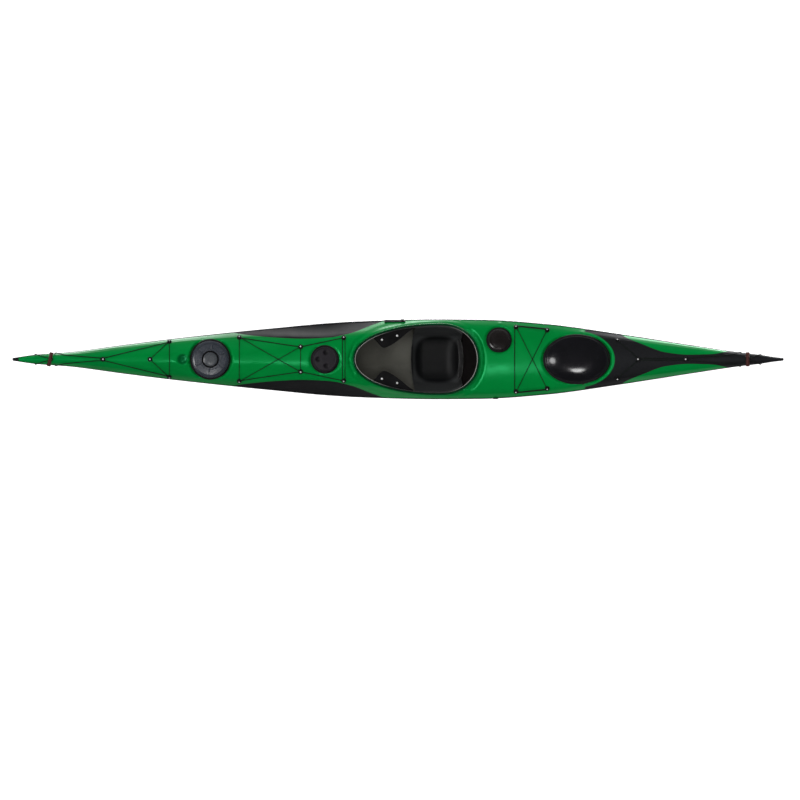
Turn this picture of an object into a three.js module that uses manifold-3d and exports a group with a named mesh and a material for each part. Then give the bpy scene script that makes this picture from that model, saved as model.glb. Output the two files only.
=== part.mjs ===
// Sea kayak as an assembly of its separate pieces.
// Millimetres. +X runs to the stern, +Y to starboard, +Z up; the origin is on the flat keel amidships.
import * as THREE from 'three';
import { mergeVertices } from 'three/addons/utils/BufferGeometryUtils.js';
import Module from 'manifold-3d';

const wasm = await Module();
wasm.setup();

// Overall sizes of the boat
const length = 5300;
const beam = 556;
const bowHeight = 430;
const wall = 5;
const fit = 0.3;
const looseFit = 0.6;
const overrun = 30;
const aboveAll = bowHeight + overrun;

// Seam band over the joint of hull and deck
const bandThickness = 2.5;
const bandHeight = 15;
const bandEase = 0.5;
const halfLength = length / 2 - bandThickness - bandEase - fit;
const halfBeam = beam / 2 - bandThickness - bandEase - fit;

// Places that move with the boat's length, as shares of its half length
const frontHatchShare = -0.48702;
const rearHatchShare = 0.46360;
const rearHatchHalfShare = 0.08766;
const compassShare = -0.55919;
const frontBulkheadShare = -0.35138;
const rearBulkheadShare = 0.35138;
const railFrontShare = -0.33249;
const railBackShare = -0.17758;
const pedalShare = -0.26070;
const pivotShare = 0.63022;
const tubeBendShare = 0.49118;
const along = (share) => share * halfLength;

// Lofting: stations along the boat, and how far the hollow inside reaches
const stationCount = 26;
const bowHollow = 2330;
const sternHollow = 2330;
const leastInnerHalf = 1;
const mitreLimit = 2.5;

// Lines of the boat, one row a station: place along the half length, half beam,
// heights of keel, seam and deck crown, ridge of the deck out and up, swell of the
// deck side, and how far the bottom has turned from round to vee
const lineShares = [
  [-1.0000, 0.030, 0.963, 0.979, 1.000, 0.80, 0.60, 0.10, 1.00],
  [-0.9430, 0.111, 0.735, 0.912, 0.982, 0.80, 0.60, 0.10, 1.00],
  [-0.8500, 0.180, 0.352, 0.795, 0.947, 0.82, 0.60, 0.10, 0.95],
  [-0.7200, 0.346, 0.254, 0.684, 0.888, 0.83, 0.58, 0.10, 0.80],
  [-0.5925, 0.500, 0.203, 0.588, 0.842, 0.84, 0.57, 0.10, 0.62],
  [-0.4113, 0.690, 0.128, 0.456, 0.832, 0.80, 0.62, 0.06, 0.35],
  [-0.3057, 0.790, 0.087, 0.419, 0.851, 0.71, 0.74, -0.05, 0.20],
  [-0.1913, 0.894, 0.036, 0.395, 0.842, 0.61, 0.84, -0.09, 0.08],
  [-0.1000, 0.947, 0.000, 0.388, 0.803, 0.66, 0.83, -0.02, 0.00],
  [0.1000, 0.996, 0.000, 0.388, 0.618, 0.85, 0.70, 0.05, 0.00],
  [0.2151, 0.988, 0.011, 0.391, 0.595, 0.85, 0.63, 0.05, 0.00],
  [0.3864, 0.879, 0.086, 0.426, 0.612, 0.82, 0.60, 0.08, 0.15],
  [0.5687, 0.640, 0.137, 0.477, 0.677, 0.76, 0.74, 0.08, 0.40],
  [0.7720, 0.336, 0.216, 0.621, 0.758, 0.76, 0.74, 0.08, 0.75],
  [0.8860, 0.173, 0.288, 0.723, 0.823, 0.78, 0.70, 0.08, 0.90],
  [0.9408, 0.109, 0.337, 0.784, 0.840, 0.80, 0.65, 0.08, 1.00],
  [0.9725, 0.062, 0.551, 0.807, 0.856, 0.80, 0.65, 0.08, 1.00],
  [1.0000, 0.030, 0.809, 0.830, 0.872, 0.80, 0.60, 0.08, 1.00],
];
const lineNames = ['half', 'keel', 'seam', 'crown', 'ridgeOut', 'ridgeUp', 'swell', 'vee'];
const roundBottomShares = [[0.15, 0], [0.50, 0.085], [0.76, 0.23], [0.91, 0.45], [0.975, 0.72], [1, 1]];
const veeBottomShares = [[0.12, 0], [0.30, 0.16], [0.52, 0.39], [0.72, 0.62], [0.89, 0.83], [1, 1]];
const deckSideShares = [0.50];
const deckTopShares = [0.35, 0.70];

// Cockpit: an egg of two half ovals, its rim a turned lip on an upright riser
const cockpitFront = -292;
const cockpitLength = 834;
const cockpitHalfWidth = 227;
const cockpitWidestShare = 0.70;
const cockpitRoundness = 2.12;
const coamingSteps = 38;
const lipWidth = 20;
const lipThickness = 5;
const lipTurn = 9;
const lipTurnThickness = 3;
const lipEase = 2;
const riserThickness = 4.5;
const riserDepth = 60;
const riserGap = 0.5;
const cockpitBack = cockpitFront + cockpitLength;
const inCockpit = (share) => cockpitFront + cockpitLength * share;
const rimHeightShares = [
  [-0.110, 0.867], [-0.047, 0.788], [0.013, 0.721], [0.0725, 0.667], [0.166, 0.630], [0.218, 0.605],
];
const recessMargin = 26;
const recessDrop = 42;
const recessSteps = 18;

// Round and oval hatches, in the order bow to stern; sizes are the rim's outer radii
const hatchWall = 4;
const hatchRecessMargin = 8;
const smallHatchSteps = 20;
const hatchSteps = 24;
const ovalSteps = 30;
const neckDepth = 12;
const plugDepth = 9;
const coverLedge = 13;
const rimWidth = 26;
const podBeforeCockpit = 211;
const dayHatchBehind = 151;
const hatches = {
  front: {
    x: along(frontHatchShare), y: 0, tilt: 0, rx: 140, ry: 140, floor: 304, rim: 22, cover: 16,
    steps: hatchSteps,
  },
  pod: {
    x: cockpitFront - podBeforeCockpit, y: 0, tilt: 0, rx: 98, ry: 98, floor: 347, rim: 13, cover: 14,
    steps: smallHatchSteps,
  },
  day: {
    x: cockpitBack + dayHatchBehind, y: 132, tilt: -12, rx: 88, ry: 88, floor: 228, rim: 13, cover: 13,
    steps: smallHatchSteps,
  },
  rear: {
    x: along(rearHatchShare), y: 0, tilt: 0, rx: along(rearHatchHalfShare), ry: 172, floor: 238,
    rim: 22, cover: 22, steps: ovalSteps,
  },
};
const rimChamfer = 3;
const podCupDepth = 120;
const podCupWall = 3;
const podCupTaper = 8;
const podCupBend = 12;
const coverRibs = 6;
const coverRibStartShare = 0.40;
const coverRibWidth = 7;
const coverRibHeight = 3;
const coverHubRadius = 52;
const coverBandShare = 0.80;
const coverShoulder = 6;
const coverShoulderDrop = 3;
const coverRibStop = 8;
const coverRibRoot = 4;
const coverHubChamfer = 3;
const coverHubRise = 2;

// Dished place for a compass on the foredeck
const compassRadius = 37;
const compassFloorRadius = 24;
const compassDepth = 9;
const compassSteps = 10;

// Deck fittings and the cords that run through them
const fittingRadius = 17;
const fittingHeight = 16;
const fittingSides = 8;
const fittingRoot = 8;
const fittingTopShare = 0.62;
const lineRadius = 3;
const bungeeRadius = 2.5;
const cordSides = 8;
const holeSides = 6;
const sharpTurn = 0.12;
const lineLift = 5;
const bungeeLift = 12.4;
const crossingLift = 6;
const cordBend = 9;
const cordBendSteps = 2;
const cordCornerShare = 0.45;
const cordSample = 29;
const cordClearance = 2;
const cordSlack = 0.7;
const lineTaper = 70;
const lineShoulderShare = 0.62;
const crossSpread = 9;
const lineOutboard = 8;
const lineInset = 3;
const fittingShares = [
  ['A', -0.76548], ['B', -0.59319], ['C', -0.64344], ['H', 0.38690], ['I', 0.56939], ['J', 0.62266],
  ['K', 0.74621],
];
const fittingBehindFrontHatch = 199;
const fittingBeforePod = 166;
const fittingBeforeCockpit = 81;
const fittingBehindDayHatch = 117;
const fittingPlaces = {
  ...Object.fromEntries(fittingShares.map(([name, share]) => [name, along(share)])),
  D: hatches.front.x + fittingBehindFrontHatch,
  E: hatches.pod.x - fittingBeforePod,
  F: cockpitFront - fittingBeforeCockpit,
  G: hatches.day.x + fittingBehindDayHatch,
};
const fittingOuts = { A: 0, B: 115, C: 0, D: 145, E: 84, F: 145, G: 219, H: 198, I: 130, J: 0, K: 0 };
const fittingSpots = Object.fromEntries(
  Object.entries(fittingOuts).map(([name, y]) => [name, [fittingPlaces[name], y]]),
);

// Toggles at the two ends, each on a loop of rope through the solid end of the boat
const toggleRadius = 14;
const toggleLength = 98;
const toggleProfileShares = [[0, -1], [0.55, -1], [0.9, -0.92], [1, -0.71], [0.92, -0.5], [0.78, 0]];
const toggleSides = 10;
const loopSpread = 37;
const loopBend = 7;
const strandSpread = 8;
const knotReach = 8;
const tipHoleSteps = 12;
const loopHoleInset = 152.7;
const lineHoleInset = 290.7;
const bowToggleInset = 257.7;
const sternToggleInset = 245.7;
const bowEnd = {
  side: -1, toggleX: bowToggleInset - halfLength, holeX: loopHoleInset - halfLength, holeZ: 406,
  lineX: lineHoleInset - halfLength, lineZ: 392, tilt: -13,
};
const sternEnd = {
  side: 1, toggleX: halfLength - sternToggleInset, holeX: halfLength - loopHoleInset, holeZ: 351,
  lineX: halfLength - lineHoleInset, lineZ: 337, tilt: 0,
};
const lineHoleSpread = 13;

// Skeg: blade on a pin in its box, shown swung down
const pivotX = along(pivotShare);
const pivotZ = 92;
const bladeThickness = 8;
const bladeEdge = 2.5;
const bladeTaper = 5;
const bladeGap = 2;
const boxWall = 4;
const boxLength = 386;
const boxHeight = 128;
const boxFront = 33;
const boxTopFrontShare = 0.12;
const boxTopBackShare = 0.70;
const boxFrontHighShare = 0.60;
const boxBackHeight = 84;
const boxSunk = 60;
const pinRadius = 4;
const pinHeadRadius = 7;
const pinHeadThickness = 2.5;
const pinSteps = 12;
const bladeReach = 330;
const bladeOutlineShares = [
  [-0.060, 0.050], [-0.018, -0.080], [0.549, -0.779], [0.600, -0.800], [0.675, -0.779], [0.692, -0.720],
  [0.642, -0.488], [0.604, -0.385], [0.470, -0.160], [0.395, 0.020], [0.270, 0.110], [0.060, 0.098],
];

// Skeg slider on the starboard side deck, and its cable tube inside
const trackStart = -94;
const trackLength = 145;
const trackWidth = 20;
const trackHeight = 9;
const trackSink = 14;
const trackUpShare = 0.165;
const grooveWidth = 9;
const grooveDepth = 5;
const grooveEnd = 8;
const knobLength = 22;
const knobWidth = 15;
const knobHeight = 7;
const tubeRadius = 4;
const tubeSides = 8;
const tubeSteps = 12;
const tubeForwardX = 300;
const tubeNearBox = 108;
const tubeBendX = along(tubeBendShare);
const tubeNearBoxX = pivotX - tubeNearBox;
const tubeNearBoxY = 40;
const tubeBoxReach = 29;
const tubeAtTrackShare = 0.93;
const tubeAtDayShare = 0.92;
const tubeAtRearShare = 0.86;
const tubeAtBendShare = 0.62;
const tubeHeights = { track: 160, forward: 156, day: 154, rear: 160, bend: 176, nearBox: 196, box: 190 };

// Bulkheads, seat, backband, braces and foot rests
const bulkheadThickness = 12;
const bulkheadBehindCockpit = 56;
const bulkheadPlaces = {
  front: along(frontBulkheadShare), day: cockpitBack + bulkheadBehindCockpit,
  rear: along(rearBulkheadShare),
};
const seatStartShare = 0.45564;
const seatEndShare = 0.85851;
const backbandShare = 0.87050;
const braceStartShare = 0.15228;
const bracePeakShare = 0.24460;
const braceEndShare = 0.47482;
const seatFront = inCockpit(seatStartShare);
const seatBack = inCockpit(seatEndShare);
const seatSkew = 32;
const seatSteps = 8;
const seatThickness = 8;
const seatPanHeight = 46;
const seatPanHalf = 166;
const seatPanInset = 30;
const seatFrontRise = 42;
const seatBackRise = 60;
const seatFrontShare = 0.25;
const seatBackShare = 0.70;
const seatCheekInset = 8;
const seatCheekDrop = 14;
const seatBrimInset = 5;
const seatOuterInset = 3;
const seatOuterDrop = 16;
const seatBrimOut = 1;
const seatCornerThickness = 4;
const seatFlatShare = 0.70;
const seatCurveShare = 0.93;
const backbandX = inCockpit(backbandShare);
const backbandRise = 0.2;
const backbandHeight = 122;
const backbandThickness = 26;
const backbandHalf = 138;
const backbandCurve = 26;
const backbandSteps = 10;
const backbandRoundSteps = 4;
const backbandPinchShare = 0.35;
const backbandShoulderShare = 0.25;
const backbandLowCurveShare = 0.40;
const braceFront = inCockpit(braceStartShare);
const braceBack = inCockpit(braceEndShare);
const bracePeak = inCockpit(bracePeakShare);
const braceInner = 80;
const braceThickness = 7;
const braceDroop = 12;
const braceUnder = 16;
const braceEnd = 10;
const braceBend = 6;
const bracePower = 1.3;
const braceEdgeShare = 0.6;
const braceSteps = 12;
const railFront = along(railFrontShare);
const railBack = along(railBackShare);
const railHeight = 20;
const railDepth = 14;
const railZ = 118;
const pedalX = along(pedalShare);
const pedalUp = 48;
const pedalDown = 24;
const pedalChinInset = 16;
const pedalReach = 74;
const pedalThickness = 12;
const pedalTilt = 8;
const pedalRibs = 4;
const pedalRibHeight = 3;
const pedalRibWidth = 6;
const pedalRibInset = 6;
const carriageLength = 46;
const carriageWall = 5;
const carriageGrip = 4;

// Drain fitting on the port seam
const plugX = 670;
const plugRadius = 17;
const plugStand = 5;
const plugStem = 8;
const plugStemLength = 26;

// Colours and finishes
const finishes = {
  hullWhite: [0xe9ecec, 0.30, 0],
  deckGreen: [0x00883a, 0.28, 0],
  seamBlack: [0x16181a, 0.55, 0],
  mouldedBlack: [0x1a1a1c, 0.50, 0],
  padBlack: [0x131416, 0.90, 0],
  hatchBlack: [0x20242b, 0.62, 0],
  dayBrown: [0x2a2523, 0.60, 0],
  innerGrey: [0x45443e, 0.70, 0],
  railMetal: [0x8b8f92, 0.40, 0.8],
  skegBlack: [0x1b1d1f, 0.45, 0],
  steel: [0xc3c6c8, 0.30, 1],
  toggleRed: [0x6b2b22, 0.55, 0],
  cordBlack: [0x17181a, 0.85, 0],
};

// Solids from rings, sweeps and library geometry

function signedVolume(points, faces) {
  let sum = 0;
  for (const [a, b, c] of faces) {
    const [p, q, r] = [points[a], points[b], points[c]];
    sum += p[0] * (q[1] * r[2] - q[2] * r[1]) - p[1] * (q[0] * r[2] - q[2] * r[0])
      + p[2] * (q[0] * r[1] - q[1] * r[0]);
  }
  return sum;
}

function solid(points, faces) {
  const outward = signedVolume(points, faces) > 0 ? faces : faces.map(([a, b, c]) => [a, c, b]);
  const vertProperties = new Float32Array(points.flat());
  const triVerts = new Uint32Array(outward.flat());
  return new wasm.Manifold(new wasm.Mesh({ numProp: 3, vertProperties, triVerts }));
}

function fromGeometry(geometry, matrix = new THREE.Matrix4()) {
  geometry.deleteAttribute('normal');
  geometry.deleteAttribute('uv');
  const merged = mergeVertices(geometry.applyMatrix4(matrix));
  const { position } = merged.attributes;
  const points = Array.from({ length: position.count }, (_, i) => (
    [position.getX(i), position.getY(i), position.getZ(i)]
  ));
  const faces = [];
  for (let i = 0; i < merged.index.count; i += 3) {
    const [a, b, c] = [merged.index.getX(i), merged.index.getX(i + 1), merged.index.getX(i + 2)];
    if (a !== b && b !== c && c !== a) faces.push([a, b, c]);
  }
  return solid(points, faces);
}

// A skin over rings of equally many points; open ends are closed by fans or by ears
function skin(rings, { closed = false, ears = null } = {}) {
  const count = rings[0].length;
  const points = rings.flat();
  const faces = [];
  const spans = closed ? rings.length : rings.length - 1;
  for (let i = 0; i < spans; i++) {
    const next = ((i + 1) % rings.length) * count;
    for (let j = 0; j < count; j++) {
      const k = (j + 1) % count;
      faces.push([i * count + j, i * count + k, next + j], [i * count + k, next + k, next + j]);
    }
  }
  if (!closed) {
    const last = (rings.length - 1) * count;
    if (ears) {
      const flat = rings[0].map(ears);
      const turn = THREE.ShapeUtils.area(flat) > 0 ? 1 : -1;
      for (const [a, b, c] of THREE.ShapeUtils.triangulateShape(flat, [])) {
        const way = THREE.ShapeUtils.area([flat[a], flat[b], flat[c]]) * turn > 0;
        const [first, second] = way ? [c, b] : [b, c];
        faces.push([a, first, second], [last + a, last + second, last + first]);
      }
    } else {
      for (const [ring, start, way] of [[rings[0], 0, -1], [rings.at(-1), last, 1]]) {
        const middle = [0, 1, 2].map((axis) => ring.reduce((sum, p) => sum + p[axis], 0) / count);
        const centre = points.push(middle) - 1;
        for (let j = 0; j < count; j++) {
          const [a, b] = [start + j, start + (j + 1) % count];
          faces.push(way > 0 ? [a, b, centre] : [b, a, centre]);
        }
      }
    }
  }
  return solid(points, faces);
}

function union(pieces) {
  return pieces.reduce((sum, piece) => sum.add(piece));
}

function block(x0, x1, y0, y1, z0, z1) {
  const place = new THREE.Matrix4().makeTranslation((x0 + x1) / 2, (y0 + y1) / 2, (z0 + z1) / 2);
  return fromGeometry(new THREE.BoxGeometry(x1 - x0, y1 - y0, z1 - z0), place);
}

// Round bar along Y
function barAlongY(radius, y0, y1, x, z, steps) {
  const place = new THREE.Matrix4().makeTranslation(x, (y0 + y1) / 2, z);
  return fromGeometry(new THREE.CylinderGeometry(radius, radius, y1 - y0, steps), place);
}

// Curves through the rows of a table, with no overshoot
function smoothThrough(places, values) {
  const gaps = places.slice(1).map((place, i) => place - places[i]);
  const rises = gaps.map((gap, i) => (values[i + 1] - values[i]) / gap);
  const slopes = places.map((_, i) => {
    if (i === 0) return rises[0];
    if (i === places.length - 1) return rises.at(-1);
    if (rises[i - 1] * rises[i] <= 0) return 0;
    const before = 2 * gaps[i] + gaps[i - 1];
    const after = gaps[i] + 2 * gaps[i - 1];
    return (before + after) / (before / rises[i - 1] + after / rises[i]);
  });
  return (place) => {
    const at = Math.min(Math.max(place, places[0]), places.at(-1));
    const i = Math.min(places.findLastIndex((p) => p <= at), gaps.length - 1);
    const t = (at - places[i]) / gaps[i];
    const [t2, t3] = [t * t, t * t * t];
    return (2 * t3 - 3 * t2 + 1) * values[i] + (t3 - 2 * t2 + t) * gaps[i] * slopes[i]
      + (3 * t2 - 2 * t3) * values[i + 1] + (t3 - t2) * gaps[i] * slopes[i + 1];
  };
}

// The boat's lines

const stationShares = lineShares.map((row) => row[0]);
const lineCurves = Object.fromEntries(lineNames.map((name, i) => (
  [name, smoothThrough(stationShares, lineShares.map((row) => row[i + 1]))]
)));
const stations = Array.from({ length: stationCount + 1 }, (_, i) => {
  const along = 2 * i / stationCount - 1;
  return halfLength * (along + Math.sin(along * Math.PI / 2)) / 2;
});

function lines(x) {
  const values = Object.fromEntries(lineNames.map((name) => [name, lineCurves[name](x / halfLength)]));
  const { half, keel, seam, crown } = values;
  const heights = { keel: keel * bowHeight, seam: seam * bowHeight, crown: crown * bowHeight };
  return { ...values, half: half * halfBeam, ...heights };
}

// Starboard half of a section from keel to crown, as [y, z]
function hullHalf(x) {
  const { half, keel, seam, vee } = lines(x);
  return roundBottomShares.map(([out, up], i) => {
    const [veeOut, veeUp] = veeBottomShares[i];
    return [half * (out + (veeOut - out) * vee), keel + (seam - keel) * (up + (veeUp - up) * vee)];
  });
}

function deckHalf(x) {
  const { half, seam, crown, ridgeOut, ridgeUp, swell } = lines(x);
  const rise = crown - seam;
  const side = deckSideShares.map((f) => [
    half * (1 + (ridgeOut - 1) * f),
    seam + rise * ridgeUp * (f + swell * Math.sin(Math.PI * f)),
  ]);
  const top = deckTopShares.map((f) => [
    half * ridgeOut * (1 - f),
    seam + rise * (1 - (1 - ridgeUp) * (1 - f) ** 2),
  ]);
  return [...side, [half * ridgeOut, seam + rise * ridgeUp], ...top, [0, crown]];
}

function mirrored(half) {
  const port = half.filter(([y]) => y > 0).map(([y, z]) => [-y, z]).reverse();
  return [...half, ...port];
}

function section(x) {
  return mirrored([...hullHalf(x), ...deckHalf(x)]);
}

// A section grown outward by a distance, or shrunk where it is negative
function grown(outline, distance) {
  const count = outline.length;
  return outline.map(([y, z], i) => {
    const [before, after] = [outline[(i + count - 1) % count], outline[(i + 1) % count]];
    const first = new THREE.Vector2(z - before[1], before[0] - y).normalize();
    const second = new THREE.Vector2(after[1] - z, y - after[0]).normalize();
    const push = Math.min(1 / Math.max(1 + first.dot(second), 1e-6), mitreLimit) * distance;
    const moved = [y + (first.x + second.x) * push, z + (first.y + second.y) * push];
    const least = Math.min(leastInnerHalf, Math.abs(y));
    moved[0] = y === 0 ? 0 : Math.sign(y) * Math.max(Math.abs(moved[0]), least);
    return moved;
  });
}

function atStation(x, outline) {
  return outline.map(([y, z]) => [x, y, z]);
}

// The whole boat's volume, grown or shrunk all round
function boatVolume(distance, from = -Infinity, to = Infinity) {
  const stretch = 1 + Math.max(distance, 0) / halfLength;
  const kept = stations.filter((x) => x >= from && x <= to);
  return skin(kept.map((x) => atStation(x * stretch, grown(section(x), distance))));
}

// Surface of the deck between stations
function sectionBetween(x) {
  const next = Math.min(Math.max(stations.findIndex((s) => s > x), 1), stationCount);
  const [x0, x1] = [stations[next - 1], stations[next]];
  const share = (x - x0) / (x1 - x0);
  const [first, second] = [section(x0), section(x1)];
  return first.map(([y, z], i) => [y + (second[i][0] - y) * share, z + (second[i][1] - z) * share]);
}

function deckHeight(x, y) {
  const first = roundBottomShares.length;
  const half = sectionBetween(x).slice(first - 1, first + deckHalf(x).length);
  const out = Math.abs(y);
  const i = half.findLastIndex((p) => p[0] >= out);
  const [a, b] = [half[Math.max(i, 0)], half[Math.min(i + 1, half.length - 1)]];
  return a[0] === b[0] ? a[1] : a[1] + (b[1] - a[1]) * (a[0] - out) / (a[0] - b[0]);
}

// Slope of the deck across the boat, as the angle that a fitting there leans out
function deckLean(x, y) {
  const probe = fittingRadius / 2;
  return Math.atan2(deckHeight(x, y - probe) - deckHeight(x, y + probe), 2 * probe);
}

// The cockpit's outline

function eggHalfWidth(x, front, back, half) {
  const widest = front + (back - front) * cockpitWidestShare;
  const reach = x < widest ? widest - front : back - widest;
  const along = Math.min(Math.abs(x - widest) / reach, 1);
  return half * (1 - along ** cockpitRoundness) ** (1 / cockpitRoundness);
}

const rimHeight = smoothThrough(
  rimHeightShares.map(([at]) => at * halfLength),
  rimHeightShares.map(([, up]) => up * bowHeight),
);

function cockpitPoint(angle, out) {
  const widest = cockpitFront + cockpitLength * cockpitWidestShare;
  const power = 2 / cockpitRoundness;
  const at = (turn) => {
    const [c, s] = [Math.cos(turn), Math.sin(turn)];
    const reach = c > 0 ? cockpitBack - widest : widest - cockpitFront;
    const out = cockpitHalfWidth * Math.sign(s) * Math.abs(s) ** power;
    return [widest + reach * Math.sign(c) * Math.abs(c) ** power, out];
  };
  const step = Math.PI / 180;
  const [a, b, p] = [at(angle - step), at(angle + step), at(angle)];
  const normal = new THREE.Vector2(b[1] - a[1], a[0] - b[0]).normalize();
  return [p[0] + normal.x * out, p[1] + normal.y * out];
}

function coamingAngle(i) {
  return 2 * Math.PI * (i + 0.5) / coamingSteps;
}

// The opening in the deck that the riser goes down through
function cockpitOpening() {
  const ring = (z) => Array.from({ length: coamingSteps }, (_, i) => (
    [...cockpitPoint(coamingAngle(i), riserThickness + fit), z]
  ));
  return skin([ring(-overrun), ring(aboveAll)]);
}

// Volume inside an egg outline, above a height that may follow the rim
function eggVolume(margin, bottom, top) {
  const [front, back, half] = [cockpitFront - margin, cockpitBack + margin, cockpitHalfWidth + margin];
  const rings = Array.from({ length: recessSteps }, (_, i) => {
    const x = (front + back) / 2 - (back - front) / 2 * Math.cos(Math.PI * (i + 0.5) / recessSteps);
    const out = eggHalfWidth(x, front, back, half);
    return [[x, -out, bottom(x)], [x, out, bottom(x)], [x, out, top], [x, -out, top]];
  });
  return skin(rings);
}

// Hatches, each made in its own frame with its recess floor at height zero

function ovalPoint(hatch, angle, out) {
  const normal = new THREE.Vector2(Math.cos(angle) * hatch.ry, Math.sin(angle) * hatch.rx).normalize();
  return [hatch.rx * Math.cos(angle) + normal.x * out, hatch.ry * Math.sin(angle) + normal.y * out];
}

function ovalRing(hatch, out, z) {
  const step = 2 * Math.PI / hatch.steps;
  return Array.from({ length: hatch.steps }, (_, i) => [...ovalPoint(hatch, i * step, out), z]);
}

// A closed ring swept round an oval, its section given as [out, z]
function ovalSweep(hatch, profile) {
  const rings = Array.from({ length: hatch.steps }, (_, i) => {
    const angle = 2 * Math.PI * i / hatch.steps;
    return profile.map(([out, z]) => [...ovalPoint(hatch, angle, out), z]);
  });
  return skin(rings, { closed: true });
}

function ovalStack(hatch, profile) {
  return skin(profile.map(([out, z]) => ovalRing(hatch, out, z)));
}

function hatchMatrix({ x, y, floor, tilt }) {
  return new THREE.Matrix4().makeTranslation(x, y, floor).multiply(
    new THREE.Matrix4().makeRotationX(THREE.MathUtils.degToRad(tilt)),
  );
}

function seated(piece, hatch) {
  return piece.rotate([hatch.tilt, 0, 0]).translate([hatch.x, hatch.y, hatch.floor]);
}

function hatchRecess(hatch, extra) {
  const out = hatchRecessMargin + extra;
  return seated(ovalStack(hatch, [[out, -extra], [out, aboveAll]]), hatch);
}

function hatchOpening(hatch) {
  const out = -rimWidth + hatchWall + fit;
  return seated(ovalStack(hatch, [[out, -overrun], [out, overrun]]), hatch);
}

// The rim stands on the recess floor, and its neck goes down through the opening
function hatchRim(hatch) {
  const inner = -rimWidth;
  return ovalSweep(hatch, [
    [inner, -neckDepth], [inner + hatchWall, -neckDepth], [inner + hatchWall, fit], [0, fit],
    [0, hatch.rim - rimChamfer], [-rimChamfer, hatch.rim], [inner, hatch.rim],
  ]);
}

// The pod's rim carries a cup below, open at the top
function podCup(hatch) {
  const inner = -rimWidth;
  const cup = ovalStack(hatch, [
    [inner + hatchWall - podCupTaper, -podCupDepth], [inner + hatchWall, podCupBend - podCupDepth],
    [inner + hatchWall, 0],
  ]);
  const room = ovalStack(hatch, [
    [inner - podCupTaper, podCupWall - podCupDepth], [inner, podCupBend + podCupWall - podCupDepth],
    [inner, hatch.rim + overrun],
  ]);
  return hatchRim(hatch).add(cup).subtract(room);
}

function hatchCover(hatch) {
  const inner = -rimWidth;
  const base = hatch.rim + fit;
  const top = base + hatch.cover;
  const edge = -coverLedge;
  return ovalStack(hatch, [
    [inner - looseFit, base - plugDepth], [inner - looseFit, base],
    [edge, base], [edge, top - hatch.cover / 2], [edge - coverShoulder, top - coverShoulderDrop],
    [-hatch.ry * coverBandShare, top],
  ]);
}

function ribbedCover(hatch) {
  const top = hatch.rim + fit + hatch.cover;
  const outer = hatch.rx - coverLedge - coverRibStop;
  const rib = block(coverHubRadius - coverRibRoot, outer, -coverRibWidth / 2, coverRibWidth / 2,
    top - coverRibHeight, top + coverRibHeight);
  const ribs = Array.from({ length: coverRibs }, (_, i) => (
    rib.rotate([0, 0, 360 * (i + coverRibStartShare) / coverRibs])
  ));
  const hubTop = coverRibHeight + coverHubRise;
  const hub = fromGeometry(new THREE.LatheGeometry([
    new THREE.Vector2(0, -coverRibHeight), new THREE.Vector2(coverHubRadius, -coverRibHeight),
    new THREE.Vector2(coverHubRadius, coverRibHeight),
    new THREE.Vector2(coverHubRadius - coverHubChamfer, hubTop),
    new THREE.Vector2(0, hubTop),
  ], hatch.steps)).rotate([90, 0, 0]).translate([0, 0, top]);
  return union([hatchCover(hatch), hub, ...ribs]);
}

// Hull, deck and seam band

const outside = boatVolume(0);
const clearOfBoat = boatVolume(fit);
const hollowBlank = boatVolume(-wall, -bowHollow, sternHollow);
const hatchList = Object.values(hatches);

function recessFloor(extra) {
  return (x) => rimHeight(x) - recessDrop - extra;
}

// The compass's dish, wider at the top, grown all round by an extra
function compassDish(extra) {
  const [x, top] = [along(compassShare), lines(along(compassShare)).crown];
  const widen = (compassRadius - compassFloorRadius) / compassDepth;
  const ring = (z) => Array.from({ length: compassSteps }, (_, i) => {
    const r = compassFloorRadius + extra + Math.max(z + compassDepth, 0) * widen;
    const turn = 2 * Math.PI * i / compassSteps;
    return [x + r * Math.cos(turn), r * Math.sin(turn), top + z];
  });
  const heights = extra > 0 ? [-compassDepth - extra, -compassDepth, wall] : [-compassDepth, wall];
  return skin(heights.map(ring));
}

function recesses(extra) {
  return union([
    eggVolume(lipWidth + recessMargin + extra, recessFloor(extra), aboveAll),
    ...hatchList.map((hatch) => hatchRecess(hatch, extra)),
    compassDish(extra),
  ]);
}

const openRecesses = recesses(0);
const hollow = hollowBlank.subtract(recesses(wall));

// Room left inside the boat, drawn in by a gap from its inner walls
function cavity(gap) {
  return boatVolume(-wall - gap, -bowHollow, sternHollow).subtract(recesses(wall + gap));
}

function skegBoxOutline(margin) {
  const [front, back] = [pivotX - boxFront - margin, pivotX - boxFront + boxLength + margin];
  const [low, high] = [pivotZ - boxSunk, pivotZ + boxHeight + margin];
  const shape = new THREE.Shape();
  shape.moveTo(front, low);
  shape.lineTo(back, low);
  shape.lineTo(back, low + boxSunk + boxBackHeight);
  shape.quadraticCurveTo(back, high, front + (back - front) * boxTopBackShare, high);
  shape.lineTo(front + (back - front) * boxTopFrontShare, high);
  shape.quadraticCurveTo(front, high, front, pivotZ + boxHeight * boxFrontHighShare);
  shape.closePath();
  return shape;
}

// An outline in the X-Z plane made a plate, centred on the middle line
function uprightPlate(shape, thickness, curveSegments = 4) {
  const plate = new THREE.ExtrudeGeometry(shape, { depth: thickness, bevelEnabled: false, curveSegments });
  return fromGeometry(plate, new THREE.Matrix4().makeRotationX(Math.PI / 2)).translate([0, thickness / 2, 0]);
}

const slotWidth = bladeThickness + 2 * bladeGap;

function skegCasing(margin) {
  return uprightPlate(skegBoxOutline(margin), slotWidth + 2 * boxWall + 2 * margin);
}

function hullHole() {
  return union([skegCasing(fit), plugStemHole()]);
}

function plugStemHole() {
  const inner = -halfBeam + overrun + plugStemLength;
  return barAlongY(plugStem + fit, -halfBeam - overrun, inner, plugX, lines(plugX).seam, pinSteps);
}

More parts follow.
